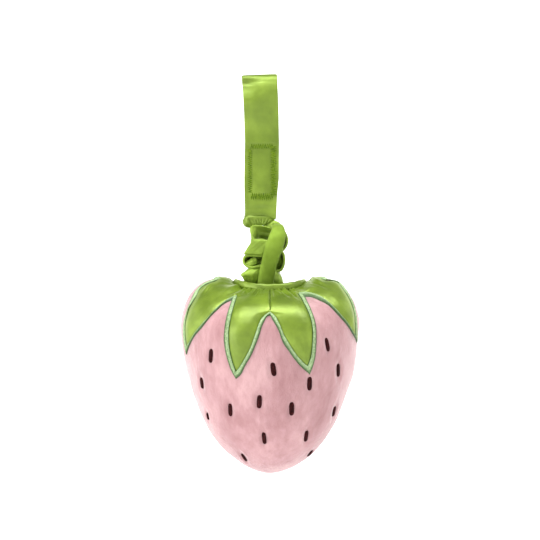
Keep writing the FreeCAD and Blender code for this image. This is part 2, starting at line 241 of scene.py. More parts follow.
def thread_mat(name, dark, mid, light, rough=0.45, sheen=0.15, scale=(1, 1, 1), attr=None, edge=None, spec=0.4):
    m, nt, b = new_mat(name)
    tc = node(nt, "ShaderNodeTexCoord")
    mp = node(nt, "ShaderNodeMapping")
    mp.inputs["Scale"].default_value = scale
    nt.links.new(tc.outputs["Object"], mp.inputs["Vector"])
    n1 = node(nt, "ShaderNodeTexNoise", in_Scale=900.0, in_Detail=2.0, in_Roughness=0.6)
    nt.links.new(mp.outputs["Vector"], n1.inputs["Vector"])
    cr = ramp(nt, n1.outputs["Fac"], [(0.30, dark), (0.5, mid), (0.72, light)])
    colour = cr.outputs["Color"]
    if attr:
        at = node(nt, "ShaderNodeAttribute", attribute_name=attr)
        er = ramp(nt, at.outputs["Fac"], edge)
        mx = node(nt, "ShaderNodeMix", data_type="RGBA", blend_type="MULTIPLY")
        mx.inputs["Factor"].default_value = 1.0
        nt.links.new(colour, mx.inputs[6])
        nt.links.new(er.outputs["Color"], mx.inputs[7])
        colour = mx.outputs[2]
    nt.links.new(colour, b.inputs["Base Color"])
    bump = node(nt, "ShaderNodeBump")
    bump.inputs["Strength"].default_value = 0.35
    bump.inputs["Distance"].default_value = 0.00025
    nt.links.new(n1.outputs["Fac"], bump.inputs["Height"])
    nt.links.new(bump.outputs["Normal"], b.inputs["Normal"])
    b.inputs["Roughness"].default_value = rough
    b.inputs["Specular IOR Level"].default_value = spec
    b.inputs["Sheen Weight"].default_value = sheen
    b.inputs["Sheen Roughness"].default_value = 0.4
    return m


M_STRAP = satin("green_satin_strap", srgb(84, 107, 18), srgb(98, 122, 27), srgb(113, 137, 38), rough=0.37)
M_CORD = satin("green_satin_cord", srgb(96, 121, 28), srgb(112, 138, 38), srgb(130, 157, 52), rough=0.46, spec=0.9)
M_RISER = satin("green_satin_straight_cord", srgb(100, 125, 32), srgb(114, 140, 42), srgb(130, 157, 56), rough=0.66, spec=0.5)
M_CALYX = satin("green_satin_calyx", srgb(82, 105, 18), srgb(97, 121, 26), srgb(115, 140, 38), rough=0.33)
# the same green satin coloured darker: painted shade for the folds deep inside the curls
M_INNER_SHADE = satin("green_satin_inner_folds_painted_shade", srgb(70, 94, 16), srgb(84, 110, 20), srgb(98, 124, 28), rough=0.5)
M_PINK = plush_mat()
# across the border: darker grey-green towards the plush side, light mint in the middle, and a dark green strip at the
# satin side that is painted shadow where the satin dips under the stitches
M_MINT = thread_mat("mint_satin_stitch", srgb(112, 136, 94), srgb(144, 168, 122), srgb(172, 194, 148), attr="edge", spec=0.25, sheen=0.05,
                    edge=[(0.0, srgb(150, 146, 142)), (0.06, srgb(110, 124, 106)), (0.14, srgb(128, 146, 124)), (0.30, srgb(172, 186, 168)), (0.42, (1, 1, 1)),
                          (0.77, (1, 1, 1)), (0.84, srgb(116, 142, 88)), (0.90, srgb(66, 88, 38)), (1.0, srgb(80, 102, 36))])
M_SEED = thread_mat("brown_satin_stitch", srgb(22, 3, 4), srgb(40, 8, 9), srgb(66, 20, 20), rough=0.6, sheen=0.0, spec=0.06)
# green sewing thread, coloured darker than the thread itself: partly painted shade of the needle holes and pulled
# thread
M_THREAD_AND_SHADE = thread_mat("green_sewing_thread_and_painted_shade", srgb(62, 84, 4), srgb(82, 108, 10), srgb(108, 134, 26), rough=0.5, sheen=0.0, spec=0.12)
M_DARKTHREAD = thread_mat("dark_gathering_thread", srgb(24, 38, 6), srgb(38, 54, 12), srgb(54, 74, 20), rough=0.6, sheen=0.0, spec=0.06)
M_HOOK = thread_mat("hook_and_loop_tape", srgb(92, 120, 34), srgb(112, 142, 46), srgb(132, 160, 60), rough=0.6)
M_ELASTIC = thread_mat("elastic_core", srgb(200, 200, 190), srgb(222, 220, 210), srgb(236, 234, 226), rough=0.7)
M_FILL = thread_mat("polyester_fibre", srgb(220, 220, 214), srgb(234, 234, 230), srgb(246, 246, 243), rough=0.9, sheen=0.4)
M_SEAM = thread_mat("pink_seam_thread", srgb(196, 132, 138), srgb(212, 152, 156), srgb(224, 168, 172), rough=0.6)


def paint(ob, mat):
    ob.data.materials.clear()
    ob.data.materials.append(mat)
    return ob


# ------------------------------------------------------------------ the strawberry's surface
# (radius, height) from the bottom pole to the neck; the side runs over a high shoulder, the front and back over a low one
SIDE = np.array([(0.0, -272.0), (10.8, -269.8), (21.8, -264.2), (34.8, -252.9), (45.8, -236.0), (54.8, -213.5), (60.4, -191.0),
                 (62.7, -168.5), (61.0, -156.4), (56.4, -145.9), (48.4, -138.0), (38.6, -134.7), (30.6, -136.2), (24.6, -139.4)])
FRONT = np.array([(0.0, -272.0), (10.8, -269.8), (21.8, -264.2), (34.8, -252.9), (45.8, -236.0), (54.8, -213.5), (60.4, -191.0),
                  (62.0, -172.5), (59.6, -163.2), (54.4, -155.8), (47.0, -150.6), (39.0, -147.4), (31.2, -145.2), (24.6, -143.4)])
T_NECK = 13.0


def profile(P, t):
    E = P.copy()
    out = catmull(E, t)
    # round the pole: the first span is mirrored through the axis
    near = np.asarray(t) < 1.0
    if np.any(near):
        Q = np.vstack([[-E[1][0], E[1][1]], E])
        q = catmull(Q, np.asarray(t) + 1.0)
        out = np.where(near[..., None], q, out)
    return out


def bumpy(x, y, z):
    """Soft unevenness of the filling, in mm."""
    return (0.42 * np.sin(x * 0.081 + z * 0.053 + 0.7) * np.sin(z * 0.097 - y * 0.061 + 1.9)
            + 0.30 * np.sin(y * 0.117 + z * 0.071 + 2.3) * np.cos(x * 0.129 - 0.4)
            + 0.16 * np.sin(x * 0.31 + 1.1) * np.sin(z * 0.27 + y * 0.23))


def surf(az, t, h=0.0):
    """Point of the body in mm, az in degrees (0 front, 90 to +X), t the profile parameter, h the height above the cloth."""
    az, t = np.broadcast_arrays(np.asarray(az, float), np.asarray(t, float))
    a = np.radians(az)
    w = np.abs(np.sin(a)) ** 5
    P = profile(FRONT, t) * (1 - w)[..., None] + profile(SIDE, t) * w[..., None]
    r, z = P[..., 0], P[..., 1]
    # the four seams draw the cloth in a little
    d = np.abs((az + 45.0) % 90.0 - 45.0)
    seam = np.exp(-(np.radians(d) * r / 2.3) ** 2) * smooth(t, 0.3, 2.0) * (1 - smooth(t, 12.0, 13.0) * 0.6)
    r = r - (0.22 + 0.60 * smooth(t, 9.0, 10.5)) * seam
    lobe = 0.55 * np.sin(np.radians(d * 2)) * smooth(t, 1.0, 5.0) * (1 - smooth(t, 9.0, 12.0))
    r = r + lobe
    x, y = AX + r * np.sin(a), -r * np.cos(a)
    k = bumpy(x, y, z) * smooth(t, 0.2, 2.5) * (1 - smooth(t, 7.5, 9.5))
    r = r + k
    return np.stack([AX + r * np.sin(a), -r * np.cos(a), z], -1) if np.isscalar(h) and h == 0.0 else \
        np.stack([AX + r * np.sin(a), -r * np.cos(a), z], -1) + normal(az, t) * np.asarray(h, float)[..., None]


def normal(az, t):
    e, f = 0.6, 0.04
    du = surf(az + e, t) - surf(az - e, t)
    dv = surf(az, np.minimum(t + f, T_NECK)) - surf(az, np.maximum(t - f, 0.0))
    n = np.cross(du, dv)
    ln = np.linalg.norm(n, axis=-1, keepdims=True)
    n = n / np.maximum(ln, 1e-9)
    down = np.zeros_like(n)
    down[..., 2] = -1
    return np.where(ln < 1e-6, down, n)


# lookup from the front view: (x from the axis, z) to (az, t)
_A = np.arange(-96.0, 96.01, 0.5)
_T = np.arange(5.0, 13.001, 0.02)
_GA, _GT = np.meshgrid(_A, _T, indexing="ij")
_GP = surf(_GA, _GT)


def find(x, z):
    q = (_GP[..., 0] - AX - x) ** 2 + (_GP[..., 2] - z) ** 2 + np.where(np.abs(_GA) > 90, 4.0, 0.0)
    i = np.unravel_index(np.argmin(q), q.shape)
    # one refinement on a fine patch
    a = np.linspace(_GA[i] - 0.5, _GA[i] + 0.5, 11)
    t = np.clip(np.linspace(_GT[i] - 0.02, _GT[i] + 0.02, 9), 0, T_NECK)
    A, T = np.meshgrid(a, t, indexing="ij")
    P = surf(A, T)
    q = (P[..., 0] - AX - x) ** 2 + (P[..., 2] - z) ** 2
    j = np.unravel_index(np.argmin(q), q.shape)
    return A[j], T[j]


# ------------------------------------------------------------------ leaves: outlines seen from the front, mm from the axis and height
# outer is the pink side of the border, inner its satin side; each runs from the notch down to the tip
L1_LO = [(-48.6, -140.6), (-52.6, -145.2), (-56.1, -153.3), (-58.5, -162.4), (-60.1, -172.1), (-59.6, -179.5), (-58.0, -188.3)]
L1_LI = [(-47.6, -141.6), (-49.8, -146.0), (-53.6, -151.4), (-56.3, -156.0), (-57.8, -162.0), (-58.6, -168.0), (-58.6, -173.5), (-58.2, -178.0), (-57.2, -181.0)]
L1_RO = [(-26.5, -150.2), (-31.9, -152.8), (-36.7, -157.1), (-41.0, -161.4), (-47.0, -168.9), (-52.9, -175.9), (-56.1, -182.3), (-58.0, -188.3)]
L1_RI = [(-21.4, -146.3), (-26.5, -148.4), (-31.9, -151.6), (-36.8, -156.0), (-41.1, -160.4), (-47.0, -167.2), (-53.3, -174.8), (-57.2, -181.0)]
L2_LO = [(-26.5, -150.2), (-28.1, -154.9), (-30.3, -162.4), (-31.6, -171.1), (-31.9, -177.5), (-30.8, -185.6), (-29.1, -192.1), (-26.8, -198.5), (-23.5, -204.4)]
L2_LI = [(-21.4, -146.3), (-23.3, -150.6), (-24.6, -154.9), (-26.2, -161.4), (-27.3, -166.8), (-27.8, -172.1), (-27.7, -178.6), (-27.0, -185.0), (-25.7, -191.0), (-23.3, -198.4)]
L2_RO = [(-0.6, -160.4), (-2.6, -161.9), (-4.9, -166.8), (-7.1, -173.7), (-9.8, -180.8), (-13.0, -188.3), (-16.8, -194.7), (-20.0, -201.2), (-23.5, -204.4)]
L2_RI = [(-1.6, -157.4), (-5.5, -161.4), (-7.7, -165.1), (-9.5, -170.0), (-11.4, -175.9), (-13.6, -181.8), (-16.3, -187.2), (-19.5, -192.6), (-23.3, -198.4)]
L3_LO = [(-0.6, -160.4), (3.0, -165.7), (6.2, -172.1), (8.9, -179.2), (13.2, -185.6), (18.0, -192.1), (22.3, -196.9), (27.5, -201.4)]
L3_LI = [(-1.4, -157.6), (1.9, -158.7), (4.6, -161.4), (6.7, -165.7), (8.9, -171.1), (12.1, -177.0), (15.3, -182.3), (19.1, -187.7), (22.9, -192.0), (25.3, -194.0)]
L3_RO = [(24.5, -147.8), (26.1, -151.6), (28.8, -157.6), (31.0, -164.0), (32.0, -172.1), (32.0, -180.8), (31.3, -188.8), (29.8, -195.3), (27.5, -201.4)]
L3_RI = [(18.3, -144.9), (19.6, -146.8), (22.3, -151.1), (25.0, -156.0), (27.2, -161.4), (28.3, -166.8), (28.8, -172.1), (28.7, -177.5), (28.3, -182.9), (27.5, -188.2), (25.3, -194.0)]
L4_LO = [(24.5, -147.8), (28.8, -148.2), (34.2, -150.4), (40.6, -153.8), (46.0, -159.2), (52.0, -165.7), (55.8, -171.1), (58.4, -175.4), (60.5, -180.0)]
L4_LI = [(18.3, -144.9), (21.8, -144.3), (26.6, -144.6), (31.5, -145.9), (36.3, -148.6), (41.2, -152.4), (45.0, -156.2), (49.3, -161.0), (53.0, -165.8), (56.3, -170.7), (59.2, -175.0)]
L4_RO = [(49.8, -139.8), (53.6, -144.1), (56.2, -149.5), (58.4, -154.4), (59.5, -159.2), (60.1, -166.8), (60.5, -173.7), (60.5, -180.0)]
L4_RI = [(44.9, -136.8), (48.7, -140.4), (52.0, -144.6), (54.7, -149.0), (56.8, -153.5), (58.2, -158.5), (58.7, -164.2), (58.9, -170.2), (59.2, -175.0)]


def lift(points, head=None):
    out = [find(x, z) for x, z in points]
    if head:
        out = list(head) + out
    return np.array(out)


# over the shoulder the side notches sit on the side seams, out of the front view
HEAD_LO, HEAD_LI = [(-90.0, 10.95), (-83.0, 10.85), (-77.0, 10.55)], [(-90.0, 11.75), (-82.0, 11.5), (-74.5, 11.0)]
HEAD_RO, HEAD_RI = [(90.0, 10.95), (84.5, 10.85), (79.5, 10.55)], [(90.0, 11.75), (82.5, 11.5), (76.5, 11.0)]
OUT = {
    "1L": lift(L1_LO, HEAD_LO), "1l": lift(L1_LI, HEAD_LI), "1R": lift(L1_RO), "1r": lift(L1_RI),
    "2L": lift(L2_LO), "2l": lift(L2_LI), "2R": lift(L2_RO), "2r": lift(L2_RI),
    "3L": lift(L3_LO), "3l": lift(L3_LI), "3R": lift(L3_RO), "3r": lift(L3_RI),
    "4L": lift(L4_LO), "4l": lift(L4_LI), "4R": lift(L4_RO, HEAD_RO), "4r": lift(L4_RI, HEAD_RI),
}
# shared notch points
for pair in (("1R", "2L"), ("1r", "2l"), ("2R", "3L"), ("2r", "3l"), ("3R", "4L"), ("3r", "4l")):
    m = (OUT[pair[0]][0] + OUT[pair[1]][0]) / 2
    if pair[0][0] == "2":
        m[0] = 0.0
    OUT[pair[0]][0] = m
    OUT[pair[1]][0] = m
for k in "1234":
    for L, R in (("L", "R"), ("l", "r")):
        m = (OUT[k + L][-1] + OUT[k + R][-1]) / 2
        OUT[k + L][-1] = m
        OUT[k + R][-1] = m
print("notches", OUT["1R"][0], OUT["1r"][0], OUT["3R"][0], OUT["3r"][0], "tips", [OUT[k + "L"][-1] for k in "1234"])


def mirrored_back(curve):
    c = curve.copy()
    c[:, 0] = 180.0 - c[:, 0]
    return c


LEAVES = []
for k in "1234":
    LEAVES.append({"Lo": OUT[k + "L"], "Li": OUT[k + "l"], "Ro": OUT[k + "R"], "Ri": OUT[k + "r"], "gore": 0 if k in "12" else 1})
for k in "4321":
    LEAVES.append({"Lo": mirrored_back(OUT[k + "R"]), "Li": mirrored_back(OUT[k + "r"]), "Ro": mirrored_back(OUT[k + "L"]),
                   "Ri": mirrored_back(OUT[k + "l"]), "gore": 2 if k in "43" else 3})


def resample(curve, step_mm, h=0.0):
    """Curve of (az, t) control points, smoothed and resampled at equal steps on the surface."""
    n = len(curve)
    c = catmull(curve, np.linspace(0, n - 1, 40 * n))
    P = surf(c[:, 0], c[:, 1])
    s = np.concatenate([[0], np.cumsum(np.linalg.norm(np.diff(P, axis=0), axis=1))])
    k = max(8, int(round(s[-1] / step_mm)))
    u = np.linspace(0, s[-1], k + 1)
    return np.stack([np.interp(u, s, c[:, 0]), np.interp(u, s, c[:, 1])], -1), s[-1]


# ------------------------------------------------------------------ folds of the gathered satin
# creases seen from the front: (x0, z0, x1, z1, depth mm, half width mm), from the collar outward
CREASES = [(-20.5, -142.8, -33.5, -148.8, 1.5, 1.4), (-12.9, -144.0, -16.0, -146.6, 1.0, 0.6), (-8.4, -144.6, -11.6, -148.8, 0.8, 0.6),
           (0.0, -143.5, 0.0, -158.5, 0.7, 0.8), (5.4, -144.4, 9.4, -147.6, 0.9, 0.6), (7.4, -144.2, 15.0, -149.4, 1.0, 0.8),
           (11.4, -143.2, 20.4, -150.2, 1.5, 0.8), (-17.0, -144.0, -19.6, -146.6, 0.9, 0.5), (14.6, -143.4, 18.0, -146.4, 0.9, 0.5), (29.0, -137.4, 42.4, -143.8, 1.0, 1.0), (23.0, -137.5, 36.0, -141.2, 0.6, 1.3),
           (-23.0, -139.0, -38.0, -140.6, 0.7, 1.8), (-42.0, -140.0, -47.4, -147.6, -0.55, 0.9), (-4.4, -144.2, -5.4, -149.5, 0.45, 0.8),
           (2.6, -144.2, 3.4, -149.0, 0.4, 0.7), (-15.6, -142.4, -21.0, -146.4, 0.6, 0.8)]


def gather(az, t, P):
    """Height of the satin over the plush: padding, radial gathers at the collar, and the larger creases."""
    near = smooth(t, 8.5, 12.6)
    a = np.radians(az)
    g = (0.36 * np.sin(a * 31 + 1.3 * np.sin(a * 5 + 0.4)) + 0.28 * np.sin(a * 19 + 2.0 + 0.9 * np.sin(a * 3))
         + 0.16 * np.sin(a * 53 + 0.7)) * near ** 1.6
    g = g * 0.72 * (0.40 + 0.60 * np.cos(a) ** 2)
    h = 0.75 + g
    x = P[..., 0] - AX
    z = P[..., 2]
    for x0, z0, x1, z1, dep, wid in CREASES:
        for back in (False, True):
            ux, uz = x1 - x0, z1 - z0
            L = math.hypot(ux, uz)
            k = ((x - x0) * ux + (z - z0) * uz) / (L * L)
            d = ((x - x0) * uz - (z - z0) * ux) / L
            taper = np.exp(-np.clip(-k, 0, None) ** 2 * 40) * (1 - smooth(k, 0.35, 1.05))
            side = (P[..., 1] > 0) if back else (P[..., 1] <= 0)
            s = np.where(side, 1.0, 0.0) * (0.8 if back else 1.0)
            h = h - dep * taper * s * np.exp(-(d / wid) ** 2) + 0.45 * dep * taper * s * np.exp(-((np.abs(d) - 1.9 * wid) / (0.9 * wid)) ** 2)
    return h


def leaf_edges(leaf):
    def edge(side):
        o, _ = resample(leaf[side + "o"], 0.5)
        i, _ = resample(leaf[side + "i"], 0.5)
        n = max(len(o), len(i))
        f = np.linspace(0, 1, n)
        o2 = np.stack([np.interp(f, np.linspace(0, 1, len(o)), o[:, k]) for k in (0, 1)], -1)
        i2 = np.stack([np.interp(f, np.linspace(0, 1, len(i)), i[:, k]) for k in (0, 1)], -1)
        return o2 * 0.30 + i2 * 0.70
    eL, eR = edge("L"), edge("R")
    if eL[0, 0] > eR[0, 0]:
        eL, eR = eR, eL
    return eL, eR


def az_at(e, t):
    """Azimuth of an edge as a function of t; straight up from its notch."""
    tt = np.minimum.accumulate(e[:, 1])
    return np.interp(t, tt[::-1], e[:, 0][::-1])


def leaf_panel(leaf, rows=120, cols=50):
    """Satin of one leaf from under the collar to its tip, its edge under the border."""
    eL, eR = leaf_edges(leaf)
    tip = (eL[-1] + eR[-1]) / 2

    t = tip[1] + (T_NECK - tip[1]) * np.linspace(0, 1, rows) ** 0.9
    A = np.zeros((rows, cols))
    f = np.linspace(0, 1, cols)
    for i, ti in enumerate(t):
        l, r = az_at(eL, ti), az_at(eR, ti)
        A[i] = l + (r - l) * f
    T = np.repeat(t[:, None], cols, 1)
    P0 = surf(A, T)
    h = gather(A, T, P0)
    # the satin dips under its border
    # each side dips where it runs under its border, and not above its notch
    mm = np.linalg.norm(P0[:, -1] - P0[:, 0], axis=-1)[:, None]
    dL, dR = f[None, :] * mm, (1 - f)[None, :] * mm
    bL = 1 - smooth(t, eL[0, 1] - 0.25, eL[0, 1] + 0.10)[:, None]
    bR = 1 - smooth(t, eR[0, 1] - 0.25, eR[0, 1] + 0.10)[:, None]
    dip = -0.75 * (bL * np.exp(-(dL / 1.3) ** 2) + bR * np.exp(-(dR / 1.3) ** 2))
    pillow = 0.75 * smooth(dL + (1 - bL) * 9, 0.5, 8.0) * smooth(dR + (1 - bR) * 9, 0.5, 8.0)
    P = P0 + normal(A, T) * (h + dip + pillow)[..., None]
    uv = np.stack([A / 360 * 5, T / 13 * 5], -1).reshape(-1, 2)
    return P.reshape(-1, 3), grid_faces(rows, cols), uv


calyx = join_grids("calyx_satin", [leaf_panel(l) for l in LEAVES])
calyx.data.validate()
paint(calyx, M_CALYX)
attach(calyx, "plush")
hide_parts(*["calyx_panel_" + g for g in G])


# ------------------------------------------------------------------ satin-stitched borders, one strip along each leaf
def border(leaf, pitch=0.66, height=1.35):
    """A band of satin stitch from the plush side (u 0) to the satin side (u 1), with the stitches as ridges across it."""
    US = np.array([0.0, 0.05, 0.12, 0.2, 0.3, 0.4, 0.5, 0.6, 0.7, 0.78, 0.84, 0.89, 0.94, 1.0])
    body_ = np.clip(1 - np.abs(2 * US / 0.90 - 1) ** 2.3, 0, 1) ** 0.62
    H = np.where(US <= 0.90, height * body_, 0.0) + np.where(US > 0.86, 0.22, 0.0)
    H[0], H[-1] = -0.4, 0.15
    parts, E = [], []
    for side in ("L", "R"):
        o, ln = resample(leaf[side + "o"], 0.2)
        i, _ = resample(leaf[side + "i"], 0.2)
        n = int(ln / pitch) * 4
        f = np.linspace(0, 1, n + 1)
        slant = 0.9 / ln                       # the stitches lean along the border
        A, T = np.zeros((n + 1, len(US))), np.zeros((n + 1, len(US)))
        for k, u in enumerate(US):
            fo = np.clip(f + slant * (u - 0.5) * np.sin(np.pi * f) ** 0.5, 0, 1)
            for out_arr, c in ((A, 0), (T, 1)):
                a_ = np.interp(fo, np.linspace(0, 1, len(o)), o[:, c])
                b_ = np.interp(fo, np.linspace(0, 1, len(i)), i[:, c])
                out_arr[:, k] = a_ * (1 - u) + b_ * u
        ridge = 0.5 + 0.5 * np.cos(2 * np.pi * np.arange(n + 1) / 4.0)
        jitter = 1 + 0.07 * np.sin(np.arange(n + 1) * 1.7) * np.sin(np.arange(n + 1) * 0.37)
        h = H[None, :] * jitter[:, None] - 0.22 * (1 - ridge)[:, None] * (body_ * (US <= 0.9))[None, :]
        P = surf(A, T) + normal(A, T) * h[..., None]
        uv = np.stack([np.repeat(f[:, None] * ln, len(US), 1), np.repeat(US[None, :] * 3, n + 1, 0)], -1).reshape(-1, 2) * 0.1
        flip = (side == "R")
        if leaf["Lo"][0, 0] > leaf["Ro"][0, 0]:
            flip = not flip
        parts.append((P.reshape(-1, 3), grid_faces(n + 1, len(US), flip=flip), uv))
        E.append(np.repeat(US[None, :], n + 1, 0).ravel())
    return parts, E


for g, name in enumerate(G):
    parts, E = [], []
    for leaf in LEAVES:
        if leaf["gore"] == g:
            p, e = border(leaf)
            parts += p
            E += e
    ob = join_grids("leaf_border_stitches_" + name, parts)
    attribute(ob, "edge", np.concatenate(E))
    paint(ob, M_MINT)
    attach(ob, "plush")
    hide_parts("leaf_border_" + name)


# ------------------------------------------------------------------ seeds
# seen from the front: (x from the axis, z, length, width, lean in degrees)
FRONT_SEEDS = [(-41.4, -188.3, 10.4, 2.8, -4), (-47.9, -208.0, 7.9, 2.0, 6), (2.3, -198.0, 9.5, 3.6, 8), (27.7, -208.0, 9.7, 3.4, 0),
               (40.1, -179.2, 10.0, 2.4, 11), (47.9, -199.0, 9.3, 2.4, 1), (-7.5, -220.3, 9.4, 3.5, -3), (15.2, -225.4, 9.5, 3.5, 0),
               (-27.9, -226.3, 9.0, 2.8, 1), (45.1, -228.0, 7.2, 1.9, -11), (-43.8, -231.3, 5.2, 1.0, 10), (-4.1, -246.2, 8.6, 3.0, 7),
               (25.5, -245.0, 7.9, 2.6, -7), (-18.3, -260.5, 6.4, 1.5, 31), (28.4, -257.9, 4.8, 1.3, -32)]
BACK_SEEDS = [(90.5, -203.5, 0), (-97.0, -199.0, 2), (104.0, -226.0, 3), (112.0, -199.0, -2), (129.0, -214.0, 3), (150.0, -208.0, -2), (172.0, -199.5, 2),
              (196.0, -210.0, -4), (218.0, -204.0, 2), (236.0, -221.0, -3), (244.0, -203.0, 3), (120.0, -236.0, 6), (143.0, -231.0, 3),
              (166.0, -226.5, -3), (189.0, -232.0, 4), (212.0, -228.0, -4), (232.0, -243.0, 5), (258.0, -232.0, -4), (178.0, -249.0, 5),
              (150.0, -251.0, 8), (206.0, -252.0, -8), (103.0, -249.0, 4), (268.0, -250.0, -6), (170.0, -263.0, 8), (238.0, -262.0, 8)]


def t_at(z):
    tt = np.linspace(0.2, 7.5, 900)
    zz = profile(SIDE, tt)[:, 1]
    return float(np.interp(z, zz, tt))


def find_low(x, z):
    t = t_at(z)
    r = float(profile(SIDE, np.array([t]))[0, 0])
    for _ in range(3):
        az = math.degrees(math.asin(max(-0.999, min(0.999, x / r))))
        r = float(np.linalg.norm((surf(az, t) - np.array([AX, 0, 0]))[:2]))
    return az, t


def seed_frame(az, t):
    P = surf(np.array(az), np.array(t))
    N = normal(np.array(float(az)), np.array(float(t)))
    up = np.array([0, 0, 1.0]) - N * N[2]
    up /= np.linalg.norm(up)
    side = np.cross(up, N)
    return P, N, up, side


SEEDS = []
for x, z, ln, wd, lean in FRONT_SEEDS:
    az, t = find_low(x, z)
    P, N, up, side = seed_frame(az, t)
    # the lean, length and width are as seen from the front: find the direction on the cloth that looks like that
    q = math.radians(lean)
    d = np.array([-math.sin(q), 0.0, math.cos(q)])
    d[1] = -(d @ N) / min(N[1], -0.2)
    k = float(np.linalg.norm(d))
    d /= k
    real = math.degrees(math.atan2(float(d @ side), float(d @ up)))
    S = np.cross(N, d)
    seen = max(0.3, abs(float(S[0] * math.cos(q) + S[2] * math.sin(q))))
    SEEDS.append((az, t, min(ln * k, 10.2), min(wd / seen, 3.7), real))
for az, z, lean in BACK_SEEDS:
    SEEDS.append((az, t_at(z), 9.4, 3.3, lean))


def seed(az, t, ln, wd, lean, k):
    """A block of satin stitches laid across the seed, rounded at both ends."""
    P, N, up, side = seed_frame(az, t)
    a = math.radians(lean)
    U = up * math.cos(a) + side * math.sin(a)
    S = side * math.cos(a) - up * math.sin(a)
    if P[1] > 0 and abs(az) > 90:
        S = S
    n, m = 17 * 3 + 1, 13
    V = np.zeros((n, m, 3))
    g = np.random.default_rng(100 + k)
    wob = g.normal(0, 0.05, n)
    for i in range(n):
        q = 2 * i / (n - 1) - 1
        half = 0.5 * wd * max(0.0, 1 - abs(q) ** 4.5) ** 0.5 * (1 + wob[i] * 0.5)
        half = max(half, 0.02)
        for j in range(m):
            v = 2 * j / (m - 1) - 1
            pr = max(0.0, 1 - abs(v) ** 2.6) ** 0.6 * max(0.0, 1 - abs(q) ** 6) ** 0.5
            ridge = 0.5 + 0.5 * math.cos(2 * math.pi * i / 3.0)
            h = -0.75 + 1.05 * pr - 0.15 * (1 - ridge) * pr
            c = P + U * (q * ln / 2) + S * (v * half)
            # follow the curve of the body
            d2 = (q * ln / 2) ** 2 / 2 / 95.0 + (v * half) ** 2 / 2 / max(12.0, np.hypot(P[0] - AX, P[1]))
            V[i, j] = c + N * (h - d2 + 0.10)
    uv = np.zeros((n * m, 2))
    return V.reshape(-1, 3), grid_faces(n, m, flip=True), uv


groups = {g: [] for g in G}
for k, (az, t, ln, wd, lean) in enumerate(SEEDS):
    q = (az + 360) % 360
    key = "front_right" if q < 90 else "back_right" if q < 180 else "back_left" if q < 270 else "front_left"
    groups[key].append(seed(az, t, ln, wd, lean, k))
for g, parts in groups.items():
    ob = join_grids("embroidered_seeds_" + g, parts)
    paint(ob, M_SEED)
    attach(ob, "plush")
    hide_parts("seeds_" + g)


# ------------------------------------------------------------------ plush body
NA, NT = 420, 300
tt = T_NECK * np.linspace(0, 1, NT) ** 0.92
aa = np.arange(NA) * 360.0 / NA - 180.0
A, T = np.meshgrid(aa, tt, indexing="xy")          # rows along t
P = surf(A, T)
N = normal(A, T)
h = np.zeros_like(T)
for az, t, ln, wd, lean in SEEDS:
    C, n0, up, side = seed_frame(az, t)
    a = math.radians(lean)
    U, S = up * math.cos(a) + side * math.sin(a), side * math.cos(a) - up * math.sin(a)
    D = P - C
    u, v, w = D @ U, D @ S, D @ n0
    e = np.sqrt((u / (ln / 2 + 0.6)) ** 2 + (v / (wd / 2 + 0.6)) ** 2)
    near = np.abs(w) < 12
    h -= np.where(near, 0.75 * np.exp(-np.clip(e - 0.75, 0, None) ** 2 / 0.45), 0)
    h += np.where(near, 0.16 * np.exp(-((e - 2.1) / 0.55) ** 2), 0)
# the plush lies lower under the satin
rad = np.hypot(P[..., 0] - AX, P[..., 1])
for leaf in LEAVES:
    eL, eR = leaf_edges(leaf)
    l, r = az_at(eL, tt)[:, None], az_at(eR, tt)[:, None]
    tip_t = max(eL[-1, 1], eR[-1, 1])
    for turn in (-360.0, 0.0, 360.0):
        A_ = A + turn
        margin = np.minimum(A_ - l, r - A_) * np.pi / 180 * np.maximum(rad, 1.0)
        # above the notches the neighbouring leaf goes on
        up_l, up_r = smooth(T, eL[0, 1] - 0.1, eL[0, 1] + 0.15), smooth(T, eR[0, 1] - 0.1, eR[0, 1] + 0.15)
        m_l = (A_ - l) * np.pi / 180 * rad + up_l * 3.0
        m_r = (r - A_) * np.pi / 180 * rad + up_r * 3.0
        inside = smooth(np.minimum(m_l, m_r), 0.2, 2.6) * (A_ > l - 0.01) * (A_ < r + 0.01) * smooth(T, tip_t, tip_t + 0.35)
        h -= 1.3 * inside
# its own fine unevenness
fine = 0.05 * np.sin(P[..., 0] * 2.1 + np.sin(P[..., 2] * 1.3) * 2) * np.sin(P[..., 2] * 1.7 + P[..., 1] * 1.9)
h += fine * (1 - smooth(T, 11, 13))
P = P + N * h[..., None]
P[0] = P[0].mean(axis=0)
faces = grid_faces(NT, NA, wrap_m=True)
# close the pole with a fan and the neck with a turned-in lip
lip1 = P[-1] + np.stack([-(P[-1][:, 0] - AX) * 0.10, -P[-1][:, 1] * 0.10, np.full(NA, -3.0)], -1)
V = np.concatenate([P[1:].reshape(-1, 3), lip1, P[0][:1]])
faces = grid_faces(NT, NA, wrap_m=True)
faces = [f for f in faces if max(f) < NT * NA]
pole = NT * NA
faces += [(pole, (j + 1) % NA, j) for j in range(NA)]
uv = np.concatenate([np.stack([A[1:] / 360, T[1:] / 13], -1).reshape(-1, 2), np.stack([aa / 360, np.ones(NA)], -1), [[0, 0]]])
body = add_mesh("plush_body", V, faces, uv)
paint(body, M_PINK)
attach(body, "plush")
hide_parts(*["plush_gore_" + g for g in G])

